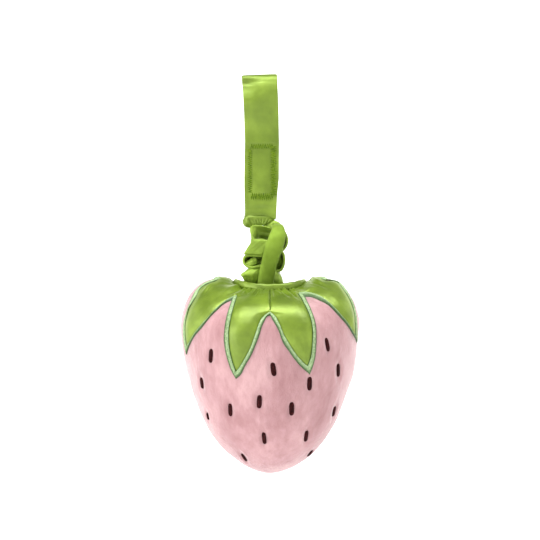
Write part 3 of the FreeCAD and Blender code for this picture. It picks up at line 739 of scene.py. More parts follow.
# filling inside it
A2, T2 = np.meshgrid(np.arange(96) * 3.75 - 180, T_NECK * np.linspace(0, 1, 60) ** 0.92, indexing="xy")
Pf = surf(A2, T2) - normal(A2, T2) * 2.6
Pf[0] = Pf[0].mean(axis=0)
top = np.array([[AX, 0, -146.0]])
Vf = np.concatenate([Pf[1:].reshape(-1, 3), Pf[0][:1], top])
ff = grid_faces(59, 96, wrap_m=True)
nf = 59 * 96
ff += [(nf, (j + 1) % 96, j) for j in range(96)] + [(nf + 1, 58 * 96 + j, 58 * 96 + (j + 1) % 96) for j in range(96)]
fill = add_mesh("fibre_filling", Vf, ff, np.zeros((len(Vf), 2)))
paint(fill, M_FILL)
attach(fill, "plush")
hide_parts("stuffing")


# ------------------------------------------------------------------ collar and the cloth inside the neck
def collar_z(a):
    return -141.2 + 3.4 * np.abs(np.sin(a)) ** 2.2


NC, MC = 420, 22
a = np.linspace(0, 2 * np.pi, NC, endpoint=False)
th = np.linspace(0, 2 * np.pi, MC, endpoint=False)
Ac, Th = np.meshgrid(a, th, indexing="ij")
ruck = 0.04 * np.sin(Ac * 31 + 1.2 * np.sin(Ac * 7)) + 0.07 * np.sin(Ac * 13 + 0.6)
hh = 2.55 + 0.22 * np.sin(Ac * 9 + 1.0) * np.sin(Ac * 4)
ct, st = np.cos(Th), np.sin(Th)
rr = 24.4 + 1.45 * np.sign(ct) * np.abs(ct) ** 0.8 + ruck * (ct > -0.2) + 0.25 * np.sin(3 * Ac)
zz = collar_z(Ac) + hh * np.sign(st) * np.abs(st) ** 0.85 + 0.10 * np.sin(Ac * 21)
rr = rr + 0.30 * (collar_z(Ac) - zz) * 0.42            # leans out at its lower edge
Pc = np.stack([AX + rr * np.sin(Ac), -rr * np.cos(Ac), zz], -1)
collar = add_mesh("neck_collar_band", Pc.reshape(-1, 3), grid_faces(NC, MC, wrap_n=True, wrap_m=True, flip=True), np.stack([Ac, Th], -1).reshape(-1, 2) / 6)
paint(collar, M_CALYX)
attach(collar, "plush")
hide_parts("neck_collar")

rads = np.linspace(0.6, 23.4, 34)
Ar, Rr = np.meshgrid(np.linspace(0, 2 * np.pi, 200, endpoint=False), rads, indexing="xy")
pl = 0.55 * np.sin(Ar * 23 + 1.5 * np.sin(Ar * 4)) * smooth(Rr, 4, 22)
Zr = -142.6 + (collar_z(Ar) + 141.2) * (Rr / 23.4) ** 2 + pl - 1.2 * np.exp(-(Rr / 7) ** 2)
Pd = np.stack([AX + Rr * np.sin(Ar), -Rr * np.cos(Ar), Zr], -1)
disc = add_mesh("neck_cloth", Pd.reshape(-1, 3), grid_faces(34, 200, wrap_m=True), np.stack([Ar, Rr / 10], -1).reshape(-1, 2))
paint(disc, M_CALYX)
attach(disc, "plush")
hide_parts("neck_disc")


def thread(name, runs, radius, sides=6):
    """Round threads through lists of points, mm."""
    parts = []
    for pts in runs:
        pts = np.asarray(pts, float)
        T = np.gradient(pts, axis=0)
        T /= np.linalg.norm(T, axis=1, keepdims=True)
        ref = np.array([0.0, -1.0, 0.1])
        W = ref - (T @ ref)[:, None] * T
        bad = np.linalg.norm(W, axis=1) < 1e-3
        W[bad] = np.array([1.0, 0, 0])
        W /= np.linalg.norm(W, axis=1, keepdims=True)
        B = np.cross(T, W)
        n = len(pts)
        rad = np.full(n, radius)
        rad[0] = rad[-1] = radius * 0.35
        ph = np.linspace(0, 2 * np.pi, sides, endpoint=False)
        V = pts[:, None] + rad[:, None, None] * (np.cos(ph)[None, :, None] * W[:, None] + np.sin(ph)[None, :, None] * B[:, None])
        f = grid_faces(n, sides, wrap_m=True)
        f += [tuple(range(sides))[::-1], tuple((n - 1) * sides + i for i in range(sides))]
        parts.append((V.reshape(-1, 3), f, np.zeros((n * sides, 2))))
    return join_grids(name, parts)


# running stitches that gather the neck, just under the collar
runs = []
for k in range(46):
    az = -180 + k * 360 / 46.0
    if k % 1 == 0:
        s = np.linspace(0, 1, 7)
        azs = az + 3.9 * s
        aa_ = np.radians(azs)
        rr_ = 25.6 + 0.35 * np.sin(np.pi * s)
        zz_ = collar_z(aa_) - 3.05 - 0.25 * s
        runs.append(np.stack([AX + rr_ * np.sin(aa_), -rr_ * np.cos(aa_), zz_], -1))
gst = thread("gathering_stitches", runs, 0.28)
paint(gst, M_DARKTHREAD)
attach(gst, "plush")
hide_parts("gathering_thread")


# the seams where two leaves meet, from the collar to the notch
runs = []
for key, sgn in (("2R", 0), ("4R", 90)):
    for azm in ((0.0, 180.0) if sgn == 0 else (90.0, 270.0)):
        t0 = OUT["2r"][0, 1] if sgn == 0 else OUT["4r"][0, 1]
        ts = np.linspace(12.6, t0 - 0.05, 40)
        az_ = np.full(40, azm)
        Q = surf(az_, ts) + normal(az_, ts) * (gather(az_, ts, surf(az_, ts)) + 0.62)[..., None]
        Q[:, 0] += 0.12 * np.sin(np.arange(40) * 0.9)
        runs.append(Q)
sl = thread("calyx_seam_lines", runs, 0.36)
paint(sl, M_DARKTHREAD)
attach(sl, "plush")


# ------------------------------------------------------------------ strap
W_STRAP, T_STRAP = 25.0, 1.6
MID_R = 7.8
REST_Y = 1.9


def strap_x(z):
    """Sideways place of the strap's middle: it leans a little to the right on its way down."""
    return np.interp(z, [-98, -93, -88.6, -77.8, -71.3, -65, -39, -21, -7, 8], [-0.9, -0.6, 0.35, 0.56, 0.8, 1.1, 1.4, 1.0, 0.45, -0.4])


def strap_half(z):
    return np.interp(z, [-93, -88.6, -77.8, -71.3, -65, -39, -7, 8], [10.5, 10.6, 11.0, 11.4, 11.75, 11.6, 11.8, 12.0])


def run_y(z):
    """Distance of a run's middle line from the middle of the loop at a height."""
    k = np.clip((-0.3 - z) / (38.5 - 0.3), 0, 1)
    s = k * k * (3 - 2 * k)
    return MID_R + (REST_Y - MID_R) * s


def ribbon(name, mid, nrm, half, thick, seg=15, relief=None, cap=True):
    """A flat satin band along a middle line; mid (n,3), nrm (n,3) is its outward face, its width runs along X."""
    n = len(mid)
    us = np.sin(np.linspace(-np.pi / 2, np.pi / 2, seg))
    outer = [(u, 1.0) for u in us]
    inner = [(u, -1.0) for u in us[::-1]]
    rnd = [(1.0 + 0.028, 0.62), (1.0 + 0.040, 0.0), (1.0 + 0.028, -0.62)]
    loop = outer + rnd + inner + [(-u, -v) for u, v in rnd]
    m = len(loop)
    V = np.zeros((n, m, 3))
    for j, (u, v) in enumerate(loop):
        edge = 1 - 0.28 * smooth(abs(u), 0.93, 1.0) if abs(v) == 1.0 else 1.0
        hgt = v * thick / 2 * edge
        V[:, j] = mid + nrm * hgt[..., None] if np.ndim(hgt) else mid + nrm * hgt
        V[:, j, 0] += u * half
        if relief is not None:
            V[:, j] += nrm * relief(V[:, j, 0], V[:, j, 2], v)[:, None]
    f = grid_faces(n, m, wrap_m=True)
    if cap:
        f += [tuple(range(m))[::-1], tuple((n - 1) * m + i for i in range(m))]
    uv = np.stack([np.repeat(np.linspace(0, 4, n)[:, None], m, 1), np.repeat(np.linspace(0, 1, m)[None, :], n, 0)], -1).reshape(-1, 2)
    return add_mesh(name, V.reshape(-1, 3), f, uv)


# patch stitching, seen from the front: inner rectangle and the reach of the zigzag on each side, mm
PX0, PX1, PZ0, PZ1 = -5.6, 7.2, -74.7, -43.9            # inner rectangle
REACH = {"l": 2.9, "r": 4.6, "t": 3.7, "b": 5.2}


def patch_relief(x, z):
    """The stitched frame is pressed in, the tape pushes the middle out a little."""
    dx = np.maximum(PX0 - x, x - PX1)
    dz = np.maximum(PZ0 - z, z - PZ1)
    d = np.maximum(dx, dz)
    frame_ = smooth(d, -0.3, 0.5) * (1 - smooth(d, 3.2, 5.2))
    inside = smooth(-d, 0.0, 2.6)
    return 0.26 * inside - 0.30 * frame_


def front_relief(x, z, v):
    low = smooth(-z, 10, 40)
    wav = 0.18 * np.sin(x * 0.21 + z * 0.055 + 0.6) + 0.12 * np.sin(z * 0.13 + x * 0.09) + 0.07 * np.sin(x * 0.47 + z * 0.11)
    pk = 0.07 * np.sin((x * 0.4 + z) * 2.3) * np.exp(-(np.maximum(0, np.maximum(np.maximum(PX0 - x, x - PX1), np.maximum(PZ0 - z, z - PZ1))) / 5.0) ** 2)
    out = wav * (0.5 + 0.5 * low) + patch_relief(x, z) * low + pk * low * (v > 0)
    # a soft ridge down the right of the upper part, and the slack fold that leans back at the top left
    out = out + 0.95 * np.exp(-((x - 5.4 - 0.06 * (z + 30)) / 2.6) ** 2) * smooth(-z, 12, 26) * (1 - smooth(-z, 38, 47))
    out = out + 0.9 * smooth(z, -34.0, -14.0) * (1 - smooth(z, -14.0, -1.0)) * (1 - smooth(x, -6.0, 6.0))
    out = out - 4.2 * smooth(-x, -3.0, 10.5) * smooth(z, -10.5, 4.0) * (1 - smooth(z, 4.0, 8.4))
    out = out - 0.8 * smooth(x, -6.0, 4.0) * smooth(z, -3.0, 3.0) * (1 - smooth(z, 3.0, 8.0))
    # puckers under the stitched patch and the roll above the cut end
    out = out + 0.55 * np.exp(-((z + 82.3) / 1.5) ** 2) * smooth(x, -3.0, 2.5) * (1 - smooth(x, 6.5, 10.5))
    out = out + 0.42 * smooth(-z, 84.0, 88.6) * (1 - 0.9 * smooth(-z, 88.8, 90.6)) - 0.30 * np.exp(-((z + 85.2) / 1.5) ** 2) * (1 - 0.5 * smooth(x, 0, 9))
    return np.where(z > 3, out - wav * 0.4, out)


# the fold and the front tail: from the rear, over the top, down the front
ang = np.linspace(0, np.pi, 40)
mid = [(0.0, MID_R * math.cos(q), MID_R * math.sin(q)) for q in ang]
nr = [(0.0, math.cos(q), math.sin(q)) for q in ang]
zs = np.linspace(-0.4, -90.2, 190)
for z in zs:
    mid.append((0.0, -float(run_y(z)), z))
    s = (float(run_y(z - 0.05)) - float(run_y(z + 0.05))) / 0.1
    v = np.array([0.0, -1.0, -s])
    nr.append(tuple(v / np.linalg.norm(v)))
mid, nr = np.array(mid), np.array(nr)
# the fold is a little higher on the right
tilt = np.clip(mid[:, 2], 0, None) / 8.6
mid[:, 0] += strap_x(mid[:, 2])
tail = ribbon("strap_tail_satin", mid, nr, strap_half(mid[:, 2]), T_STRAP, relief=front_relief)
co = np.array([v.co for v in tail.data.vertices]) / MM
k = np.clip(co[:, 2], 0, None) / 8.6
co[:, 2] += k * (co[:, 0] / 12.5) * 0.45
# the lower end is cut in a shallow curve
e = smooth(-co[:, 2], 70, 90.2)
xr_ = (co[:, 0] + 0.7) / 10.0
co[:, 2] += e * (-0.5 - np.where(xr_ < 0, 1.1, 2.2) * xr_ ** 2)
tail.data.vertices.foreach_set("co", (co * MM).astype(np.float32).ravel())
tail.data.update()
paint(tail, M_STRAP)
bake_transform(tail)
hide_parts("strap_front_tail")


def rear_relief(x, z, v):
    low = smooth(-z, 10, 40)
    return (0.18 * np.sin(x * 0.23 + z * 0.06 + 2.1) + 0.14 * np.sin(z * 0.12 - x * 0.08)) * (0.4 + 0.6 * low) + patch_relief(x, z) * 0.8 * low * (v > 0)


zs = np.linspace(0.0, -97.2, 200)
mid, nr = [], []
for z in zs:
    y = float(run_y(z))
    y = y + (0.0 - y) * float(smooth(-z, 90, 97)) * 0.8
    mid.append((float(strap_x(z)), y, z))
    s = (float(run_y(z - 0.05)) - float(run_y(z + 0.05))) / 0.1
    v = np.array([0.0, 1.0, -s])
    nr.append(tuple(v / np.linalg.norm(v)))
rear = ribbon("strap_rear_satin", np.array(mid), np.array(nr), strap_half(zs), T_STRAP, relief=rear_relief)
paint(rear, M_STRAP)
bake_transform(rear)
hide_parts("strap_rear_band")


def zigzag(sign):
    """One zigzag row on each side of the tape; points are on the strap's outer face."""
    rng_ = np.random.default_rng(3 if sign < 0 else 5)
    runs = []

    def face_y(x, z):
        y = float(run_y(z)) + T_STRAP / 2
        if sign < 0:
            y += float(front_relief(np.array([x]), np.array([z]), 1.0)[0])
        else:
            y += float(rear_relief(np.array([x]), np.array([z]), 1.0)[0])
        return sign * (y + 0.10)

    def row(p0, p1, out, reach, pitch):
        p0, p1, out = np.array(p0, float), np.array(p1, float), np.array(out, float)
        L = np.linalg.norm(p1 - p0)
        n = int(L / pitch) * 2
        pts = []
        for i in range(n + 1):
            q = p0 + (p1 - p0) * (i / n) + (p1 - p0) / L * rng_.normal(0, 0.10)
            w = (0.0 if i % 2 == 0 else 1.0) * reach * (1 + rng_.normal(0, 0.05)) + rng_.normal(0, 0.06)
            pts.append(q + out * w)
        fine_ = []
        for a_, b_ in zip(pts, pts[1:]):
            for s_ in np.linspace(0, 1, 5)[:-1]:
                c_ = a_ + (b_ - a_) * s_
                arch = 0.16 * math.sin(math.pi * s_) - 0.12
                fine_.append((c_[0], face_y(c_[0], c_[1]) + sign * arch, c_[1]))
        runs.append(fine_)

    row((PX0, PZ0), (PX0, PZ1), (-1, 0), REACH["l"], 1.45)
    row((PX0 - 1, PZ1), (PX1 + 2, PZ1), (0, 1), REACH["t"], 1.45)
    row((PX1, PZ1 + 2), (PX1, PZ0 - 2), (1, 0), REACH["r"], 1.15)
    row((PX1 + 2, PZ0), (PX0 - 1, PZ0), (0, -1), REACH["b"], 1.30)
    return runs


zf = thread("tail_zigzag_stitching", zigzag(-1), 0.30, 6)
paint(zf, M_THREAD_AND_SHADE)
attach(zf, "tail")
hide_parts("hook_tape_stitching")
zr = thread("rear_zigzag_stitching", zigzag(1), 0.30, 6)
paint(zr, M_THREAD_AND_SHADE)
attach(zr, "strap")
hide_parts("loop_tape_stitching")


def tape(name, sign, kind):
    """Hook or loop tape: a woven back with a dense field of hooks or fuzzy loops on its working face."""
    nx, nz = 91, 191
    xs, zs_ = np.linspace(-9.0, 9.0, nx), np.linspace(-79.5, -41.5, nz)
    X, Z = np.meshgrid(xs, zs_, indexing="ij")
    if kind == "hook":
        hgt = 0.42 * np.clip(np.sin(X * 7.0), 0, 1) * np.clip(np.sin(Z * 7.0), 0, 1)
    else:
        r_ = np.random.default_rng(11)
        hgt = 0.34 * r_.random(X.shape)
        hgt = (hgt + np.roll(hgt, 1, 0) + np.roll(hgt, 1, 1)) / 2.2
    edge = np.minimum(np.minimum(X + 9.0, 9.0 - X), np.minimum(Z + 79.5, -41.5 - Z))
    hgt = hgt * smooth(edge, 0.3, 0.9)
    y0, y1 = 1.05, 0.52
    F = np.stack([X, sign * (y1 - hgt), Z], -1)
    B = np.stack([X, np.full_like(X, sign * y0), Z], -1)
    V = np.concatenate([F.reshape(-1, 3), B.reshape(-1, 3)])
    n = nx * nz
    f = grid_faces(nx, nz, flip=sign < 0) + grid_faces(nx, nz, flip=sign > 0, base=n)
    ring_ = [i * nz for i in range(nx)] + [(nx - 1) * nz + j for j in range(1, nz)] + [i * nz + nz - 1 for i in range(nx - 2, -1, -1)] + [j for j in range(nz - 2, 0, -1)]
    for a_, b_ in zip(ring_, ring_[1:] + ring_[:1]):
        f.append((a_, b_, b_ + n, a_ + n) if sign > 0 else (a_, a_ + n, b_ + n, b_))
    ob = add_mesh(name, V, f, np.zeros((2 * n, 2)), smooth_shade=True)
    paint(ob, M_HOOK)
    return ob


hk = tape("hook_tape", -1, "hook")
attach(hk, "tail")
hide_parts("hook_tape_patch")
lp = tape("loop_tape", 1, "loop")
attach(lp, "strap")
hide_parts("loop_tape_patch")


# ------------------------------------------------------------------ cord: the straight strand in front and the curled strand
def spline_points(name, pts):
    """Points along a NURBS spline through the route, mm."""
    cu = bpy.data.curves.new(name, "CURVE")
    cu.dimensions = "3D"
    cu.resolution_u = 14
    sp = cu.splines.new("NURBS")
    sp.points.add(len(pts) - 1)
    for p, q in zip(sp.points, pts):
        p.co = (q[0] * MM, q[1] * MM, q[2] * MM, 1.0)
    sp.order_u = 3
    sp.use_endpoint_u = True
    ob = bpy.data.objects.new(name, cu)
    bpy.context.scene.collection.objects.link(ob)
    bpy.context.view_layer.update()
    me = bpy.data.meshes.new_from_object(ob.evaluated_get(bpy.context.evaluated_depsgraph_get()))
    out = np.array([v.co[:] for v in me.vertices]) / MM
    bpy.data.meshes.remove(me)
    bpy.data.objects.remove(ob)
    bpy.data.curves.remove(cu)
    return out


def even(P, n):
    s = np.concatenate([[0], np.cumsum(np.linalg.norm(np.diff(P, axis=0), axis=1))])
    u = np.linspace(0, s[-1], n)
    return np.stack([np.interp(u, s, P[:, k]) for k in range(3)], -1), s[-1]


def flat_tube(name, path, wide, a_half, b_half, power=2.4, n_phi=44, wrinkle=None, taper=(1.0, 1.0)):
    """Soft flat tube: wide (n,3) is the direction of its width at each point, a_half and b_half its half sizes (n,)."""
    n = len(path)
    T = np.gradient(path, axis=0)
    T /= np.linalg.norm(T, axis=1, keepdims=True)
    W = wide - (np.sum(wide * T, axis=1))[:, None] * T
    W /= np.linalg.norm(W, axis=1, keepdims=True)
    B = np.cross(T, W)
    ph = np.linspace(0, 2 * np.pi, n_phi, endpoint=False)
    c = np.sign(np.cos(ph)) * np.abs(np.cos(ph)) ** (2 / power)
    s = np.sign(np.sin(ph)) * np.abs(np.sin(ph)) ** (2 / power)
    a_half, b_half = np.broadcast_to(a_half, (n,)), np.broadcast_to(b_half, (n,))
    V = path[:, None] + (a_half[:, None] * c[None])[..., None] * W[:, None] + (b_half[:, None] * s[None])[..., None] * B[:, None]
    out = (V - path[:, None])
    out /= np.maximum(np.linalg.norm(out, axis=-1, keepdims=True), 1e-6)
    L = np.concatenate([[0], np.cumsum(np.linalg.norm(np.diff(path, axis=0), axis=1))])
    if wrinkle is not None:
        V = V + out * wrinkle(L[:, None], ph[None, :])[..., None]
    # rounded ends
    V = V.reshape(-1, 3)
    f = grid_faces(n, n_phi, wrap_m=True)
    m = n * n_phi
    V = np.concatenate([V, [path[0] - T[0] * b_half[0] * 0.5], [path[-1] + T[-1] * b_half[-1] * 0.5]])
    f += [(m, (j + 1) % n_phi, j) for j in range(n_phi)] + [(m + 1, (n - 1) * n_phi + j, (n - 1) * n_phi + (j + 1) % n_phi) for j in range(n_phi)]
    uv = np.concatenate([np.stack([np.repeat(L[:, None], n_phi, 1) / 20, np.repeat(ph[None] / 6.283, n, 0)], -1).reshape(-1, 2), [[0, 0], [0, 0]]])
    return add_mesh(name, V, f, uv)


# control points of the curled strand, mm, with the lean of the band's width in degrees (0 upright, + its top outward),
# its half width and its half thickness
COIL = [(1.0, 0.8, -96.0, 80, 3.2, 1.0), (5.5, -0.4, -96.6, 85, 3.6, 1.1), (10.0, -2.0, -97.6, 95, 4.0, 1.2), (13.2, -2.4, -100.2, 118, 4.2, 1.2),
        (15.6, -1.0, -103.8, 150, 4.6, 1.3), (16.6, 2.4, -107.4, 176, 4.9, 1.4), (15.6, 6.4, -108.8, 184, 5.0, 1.5), (12.6, 9.8, -107.8, 182, 5.3, 1.6),
        (7.5, 11.6, -105.2, 180, 5.4, 1.5), (1.5, 11.4, -103.5, 180, 5.4, 1.5), (-2.8, 8.6, -103.2, 180, 4.6, 1.5), (-4.4, 4.0, -103.6, 180, 4.4, 1.3),
        (-4.6, -1.4, -105.6, 178, 4.2, 1.3), (-5.6, -6.4, -109.4, 170, 4.2, 1.4), (-4.8, -11.0, -112.4, 166, 4.2, 1.4), (-0.4, -12.8, -112.9, 170, 4.6, 1.5),
        (5.0, -12.6, -113.2, 176, 5.2, 1.7), (10.0, -9.0, -115.2, 180, 5.2, 1.8), (12.4, -3.0, -118.2, 180, 5.4, 1.8), (12.6, 3.6, -121.6, 180, 5.6, 1.8),
        (9.4, 9.2, -123.4, 180, 5.6, 1.8), (3.2, 11.6, -122.8, 180, 5.6, 1.8), (-3.4, 10.6, -122.0, 186, 5.4, 1.8), (-8.2, 6.0, -122.2, 192, 5.0, 1.8),
        (-8.8, 0.4, -123.6, 190, 4.4, 1.7), (-5.4, -4.0, -125.0, 180, 4.0, 1.7), (0.6, -6.0, -125.6, 180, 4.0, 1.8), (6.4, -6.4, -126.2, 180, 4.4, 1.9),
        (11.0, -3.2, -127.8, 180, 4.8, 2.0), (12.4, 2.6, -129.8, 180, 4.8, 2.2), (9.4, 8.2, -131.4, 180, 4.6, 2.4), (3.4, 10.8, -131.8, 180, 4.4, 2.6),
        (-3.6, 9.8, -132.2, 180, 4.6, 2.8), (-7.2, 5.2, -132.8, 176, 3.9, 2.6), (-8.4, -1.2, -133.0, 176, 3.7, 2.0), (-6.4, -7.2, -133.4, 184, 4.3, 2.2),
        (-1.6, -9.6, -133.8, 188, 4.6, 2.2), (5.0, -8.8, -134.2, 182, 4.8, 2.2), (9.8, -4.8, -134.9, 172, 4.4, 2.0), (12.0, 0.4, -136.2, 172, 4.4, 2.0),
        (10.0, 4.8, -138.6, 180, 4.4, 2.4), (7.6, 3.4, -142.6, 180, 3.8, 2.2)]
raw = spline_points("coil_route", [c[:3] for c in COIL])
cpath, clen = even(raw, 700)
ctl = np.array(COIL)
sr = np.concatenate([[0], np.cumsum(np.linalg.norm(np.diff(raw, axis=0), axis=1))])
at_ctl = np.interp(np.linspace(0, sr[-1], 700), sr, np.linspace(0, len(COIL) - 1, len(raw)))
lean = np.radians(np.interp(at_ctl, np.arange(len(COIL)), ctl[:, 3]))
a_h = np.interp(at_ctl, np.arange(len(COIL)), ctl[:, 4])
b_h = np.interp(at_ctl, np.arange(len(COIL)), ctl[:, 5])
out_ = cpath - np.array([3.5, 0, 0])
out_[:, 2] = 0
out_ /= np.maximum(np.linalg.norm(out_, axis=1, keepdims=True), 1e-6)
wide = np.array([0, 0, 1.0])[None] * np.cos(lean)[:, None] + out_ * np.sin(lean)[:, None]


def coil_wrinkle(s, ph):
    return (0.20 * np.sin(s * 0.42 + 1.4 * np.sin(ph)) * np.sin(ph * 2 + s * 0.11)
            + 0.14 * np.sin(s * 1.05 + 2.2 * np.cos(ph + 0.6)) * (0.5 + 0.5 * np.sin(ph * 3 + s * 0.21))
            + 0.08 * np.sin(ph * 5 + s * 0.35))


coil = flat_tube("curled_satin_cord", cpath, wide, a_h, b_h, power=2.5, n_phi=52, wrinkle=coil_wrinkle)
paint(coil, M_CORD)
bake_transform(coil)
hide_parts("curled_cord_cover")

elastic = flat_tube("cord_elastic", cpath, wide, 1.5, 0.7, n_phi=10)
paint(elastic, M_ELASTIC)
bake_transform(elastic)
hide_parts("cord_elastic_core")

RISER = [(11.6, -5.0, -98.4), (12.4, -11.0, -98.8), (13.0, -16.8, -101.2), (12.4, -20.2, -106.0), (10.4, -20.6, -112.0), (8.4, -19.2, -117.6),
         (6.8, -17.4, -123.0), (5.4, -15.4, -128.6), (4.3, -13.8, -134.0), (3.7, -12.4, -139.0), (3.8, -11.0, -146.0)]
rpath, rlen = even(spline_points("riser_route", RISER), 170)
fr = np.linspace(0, 1, len(rpath))
ra = np.interp(rpath[:, 2], [-146, -137, -129, -121, -113, -104, -101, -98], [5.4, 5.5, 5.5, 5.7, 6.2, 5.6, 4.6, 3.6])
rb = np.interp(fr, [0, 0.2, 0.6, 1.0], [1.8, 2.7, 3.0, 2.8])
rwide = np.tile(np.array([1.0, 0.12, 0.10]), (len(rpath), 1))


def riser_wrinkle(s, ph):
    return 0.12 * np.sin(s * 0.30 + np.sin(ph) * 1.2) + 0.08 * np.sin(ph * 3 + s * 0.16) + 0.30 * np.exp(-((ph - 3.0) / 0.16) ** 2)


riser = flat_tube("straight_satin_cord", rpath, rwide, ra, rb, power=2.7, wrinkle=riser_wrinkle)
paint(riser, M_RISER)
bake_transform(riser)


def fold_sheet(name, route, y0, y1, thick, tilt=0.0, flare=0.0):
    """A doubled edge of the curled band: a smooth line in (x, z) carried from y0 at the front to y1 at the back."""
    pts, L = even(spline_points(name + "_route", [(x, 0.0, z) for x, z in route]), 90)
    T = np.gradient(pts, axis=0)
    T /= np.linalg.norm(T, axis=1, keepdims=True)
    N = np.stack([-T[:, 2], np.zeros(len(pts)), T[:, 0]], -1)
    mid_ = pts.mean(axis=0)
    loop = []
    for q in np.linspace(0, np.pi, 9):                       # rounded front edge
        loop.append((-math.sin(q) * thick * 0.5, math.cos(q) * 0.5))
    ys = np.linspace(0.12, 1, 9)
    prof_ = [(0.0 + y, -0.5) for y in ys]
    ring_ = [("e", a_, b_) for a_, b_ in loop] + [("s", y, -0.5) for y in ys] + [("s", y, 0.5) for y in ys[::-1]]
    n, m = len(pts), len(ring_)
    V = np.zeros((n, m, 3))
    grow = 1 + 0.12 * np.sin(np.linspace(0, 9, n))
    for j, (kind, u, v) in enumerate(ring_):
        if kind == "e":
            y = y0 + u
            off = v * thick
            k = 0.0
        else:
            y = y0 + (y1 - y0) * u
            off = v * thick
            k = u * u
        base = pts + (mid_ - pts) * (flare * k)
        V[:, j] = base + N * (off * grow)[:, None] if np.ndim(off) else base + N * (off * grow[:, None])
        V[:, j, 1] = y + tilt * (pts[:, 0] - mid_[0]) + 0.25 * np.sin(np.linspace(0, 7, n))
    f = grid_faces(n, m, wrap_m=True) + [tuple(range(m))[::-1], tuple((n - 1) * m + i for i in range(m))]
    ob = add_mesh(name, V.reshape(-1, 3), f, np.stack([V[..., 0] / 20, V[..., 2] / 20], -1).reshape(-1, 2))
    paint(ob, M_CORD)
    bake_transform(ob)
    return ob


def cloth_fold(name, rows, thick, seed=0.0, n=64, m=64):
    """A doubled piece of the band: rows of points from its upper edge to its lower one, its edges rounded."""
    R = np.array(rows, float)
    A_ = np.stack([catmull(r, np.linspace(0, len(r) - 1, m)) for r in R])
    P = np.stack([catmull(A_[:, q], np.linspace(0, len(R) - 1, n)) for q in range(m)], 1)
    du, dv = np.gradient(P, axis=0), np.gradient(P, axis=1)
    N = np.cross(du, dv)
    N /= np.maximum(np.linalg.norm(N, axis=-1, keepdims=True), 1e-9)
    if N[..., 1].mean() > 0:
        N = -N
    u, v = np.linspace(0, 1, n)[:, None], np.linspace(0, 1, m)[None, :]
    w_ = 0.14 * np.sin(v * 13 + 5 * u + seed) + 0.10 * np.sin(u * 17 - v * 6 + 2 * seed) + 0.05 * np.sin(v * 31 + u * 23 + seed)
    P = P + N * w_[..., None]
    size = np.linalg.norm(P[:, -1] - P[:, 0], axis=-1).mean(), np.linalg.norm(P[-1] - P[0], axis=-1).mean()
    d = np.minimum(np.minimum(u, 1 - u) * size[1], np.minimum(v, 1 - v) * size[0])
    e_ = np.sqrt(np.clip(1 - (1 - np.clip(d / (thick * 0.6), 0, 1)) ** 2, 0, 1))
    F_, B_ = P + N * (thick / 2 * e_)[..., None], P - N * (thick / 2 * e_)[..., None]
    V = np.concatenate([F_.reshape(-1, 3), B_.reshape(-1, 3)])
    flip = float(np.sum(np.cross(P[1, 0] - P[0, 0], P[0, 1] - P[0, 0]) * N[0, 0])) > 0
    ff = grid_faces(n, m, flip=flip)
    f_ = ff + [tuple(q + n * m for q in r_[::-1]) for r_ in ff]
    ob = add_mesh(name, V, f_, np.concatenate([np.stack([P[..., 0] / 20, P[..., 2] / 20], -1).reshape(-1, 2)] * 2))
    bm = bmesh.new()
    bm.from_mesh(ob.data)
    bmesh.ops.remove_doubles(bm, verts=bm.verts, dist=1e-6)
    bmesh.ops.recalc_face_normals(bm, faces=bm.faces)
    bm.to_mesh(ob.data)
    bm.free()
    paint(ob, M_CORD)
    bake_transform(ob)
    return ob


folds = []
folds.append(cloth_fold("cord_fold_first_turn", [
    [(-7.0, -2.8, -99.0), (-5.6, -3.4, -97.9), (-3.8, -3.8, -97.2), (-1.5, -4.0, -97.5), (2.6, -4.2, -98.1), (6.7, -4.4, -99.2), (10.9, -4.6, -100.2)],
    [(-7.0, -2.8, -100.2), (-5.6, -3.8, -99.6), (-3.8, -3.6, -98.5), (-1.2, -3.0, -98.6), (2.8, -2.8, -99.3), (6.9, -3.0, -100.4), (11.0, -3.4, -101.3)],
    [(-6.9, -2.8, -102.2), (-5.3, -4.0, -102.2), (-3.6, -3.2, -102.0), (-1.0, -1.0, -101.8), (3.0, 0.2, -102.0), (7.0, 0.0, -102.5), (11.0, -1.0, -103.0)],
    [(-6.5, -3.0, -105.0), (-5.1, -4.4, -105.0), (-3.4, -3.4, -105.0), (-0.8, -0.6, -105.0), (3.0, 1.0, -105.0), (7.0, 0.8, -105.2), (11.0, -0.2, -105.4)],
    [(-6.0, -3.6, -107.6), (-4.8, -4.8, -107.8), (-3.2, -2.6, -107.8), (-0.6, 3.0, -107.9), (3.0, 5.6, -108.0), (7.0, 5.2, -108.2), (11.0, 4.0, -108.4)]], 0.9, 0.4))
folds.append(cloth_fold("cord_fold_front_turn", [
    [(-4.4, -12.6, -107.4), (0.0, -13.2, -107.5), (4.3, -13.4, -108.1), (8.0, -13.0, -108.6)],
    [(-5.0, -15.0, -107.9), (-0.2, -15.4, -108.1), (4.2, -15.4, -108.7), (8.0, -15.0, -109.2)],
    [(-7.9, -15.3, -111.9), (-2.5, -15.7, -112.1), (3.2, -15.7, -112.4), (7.6, -15.3, -112.8)],
    [(-11.1, -14.8, -117.0), (-5.0, -15.5, -117.3), (1.6, -15.7, -117.3), (6.6, -15.2, -117.4)],
    [(-10.9, -12.4, -117.7), (-4.8, -13.2, -118.1), (1.4, -13.4, -118.1), (6.2, -13.2, -118.1)]], 1.0, 1.9))
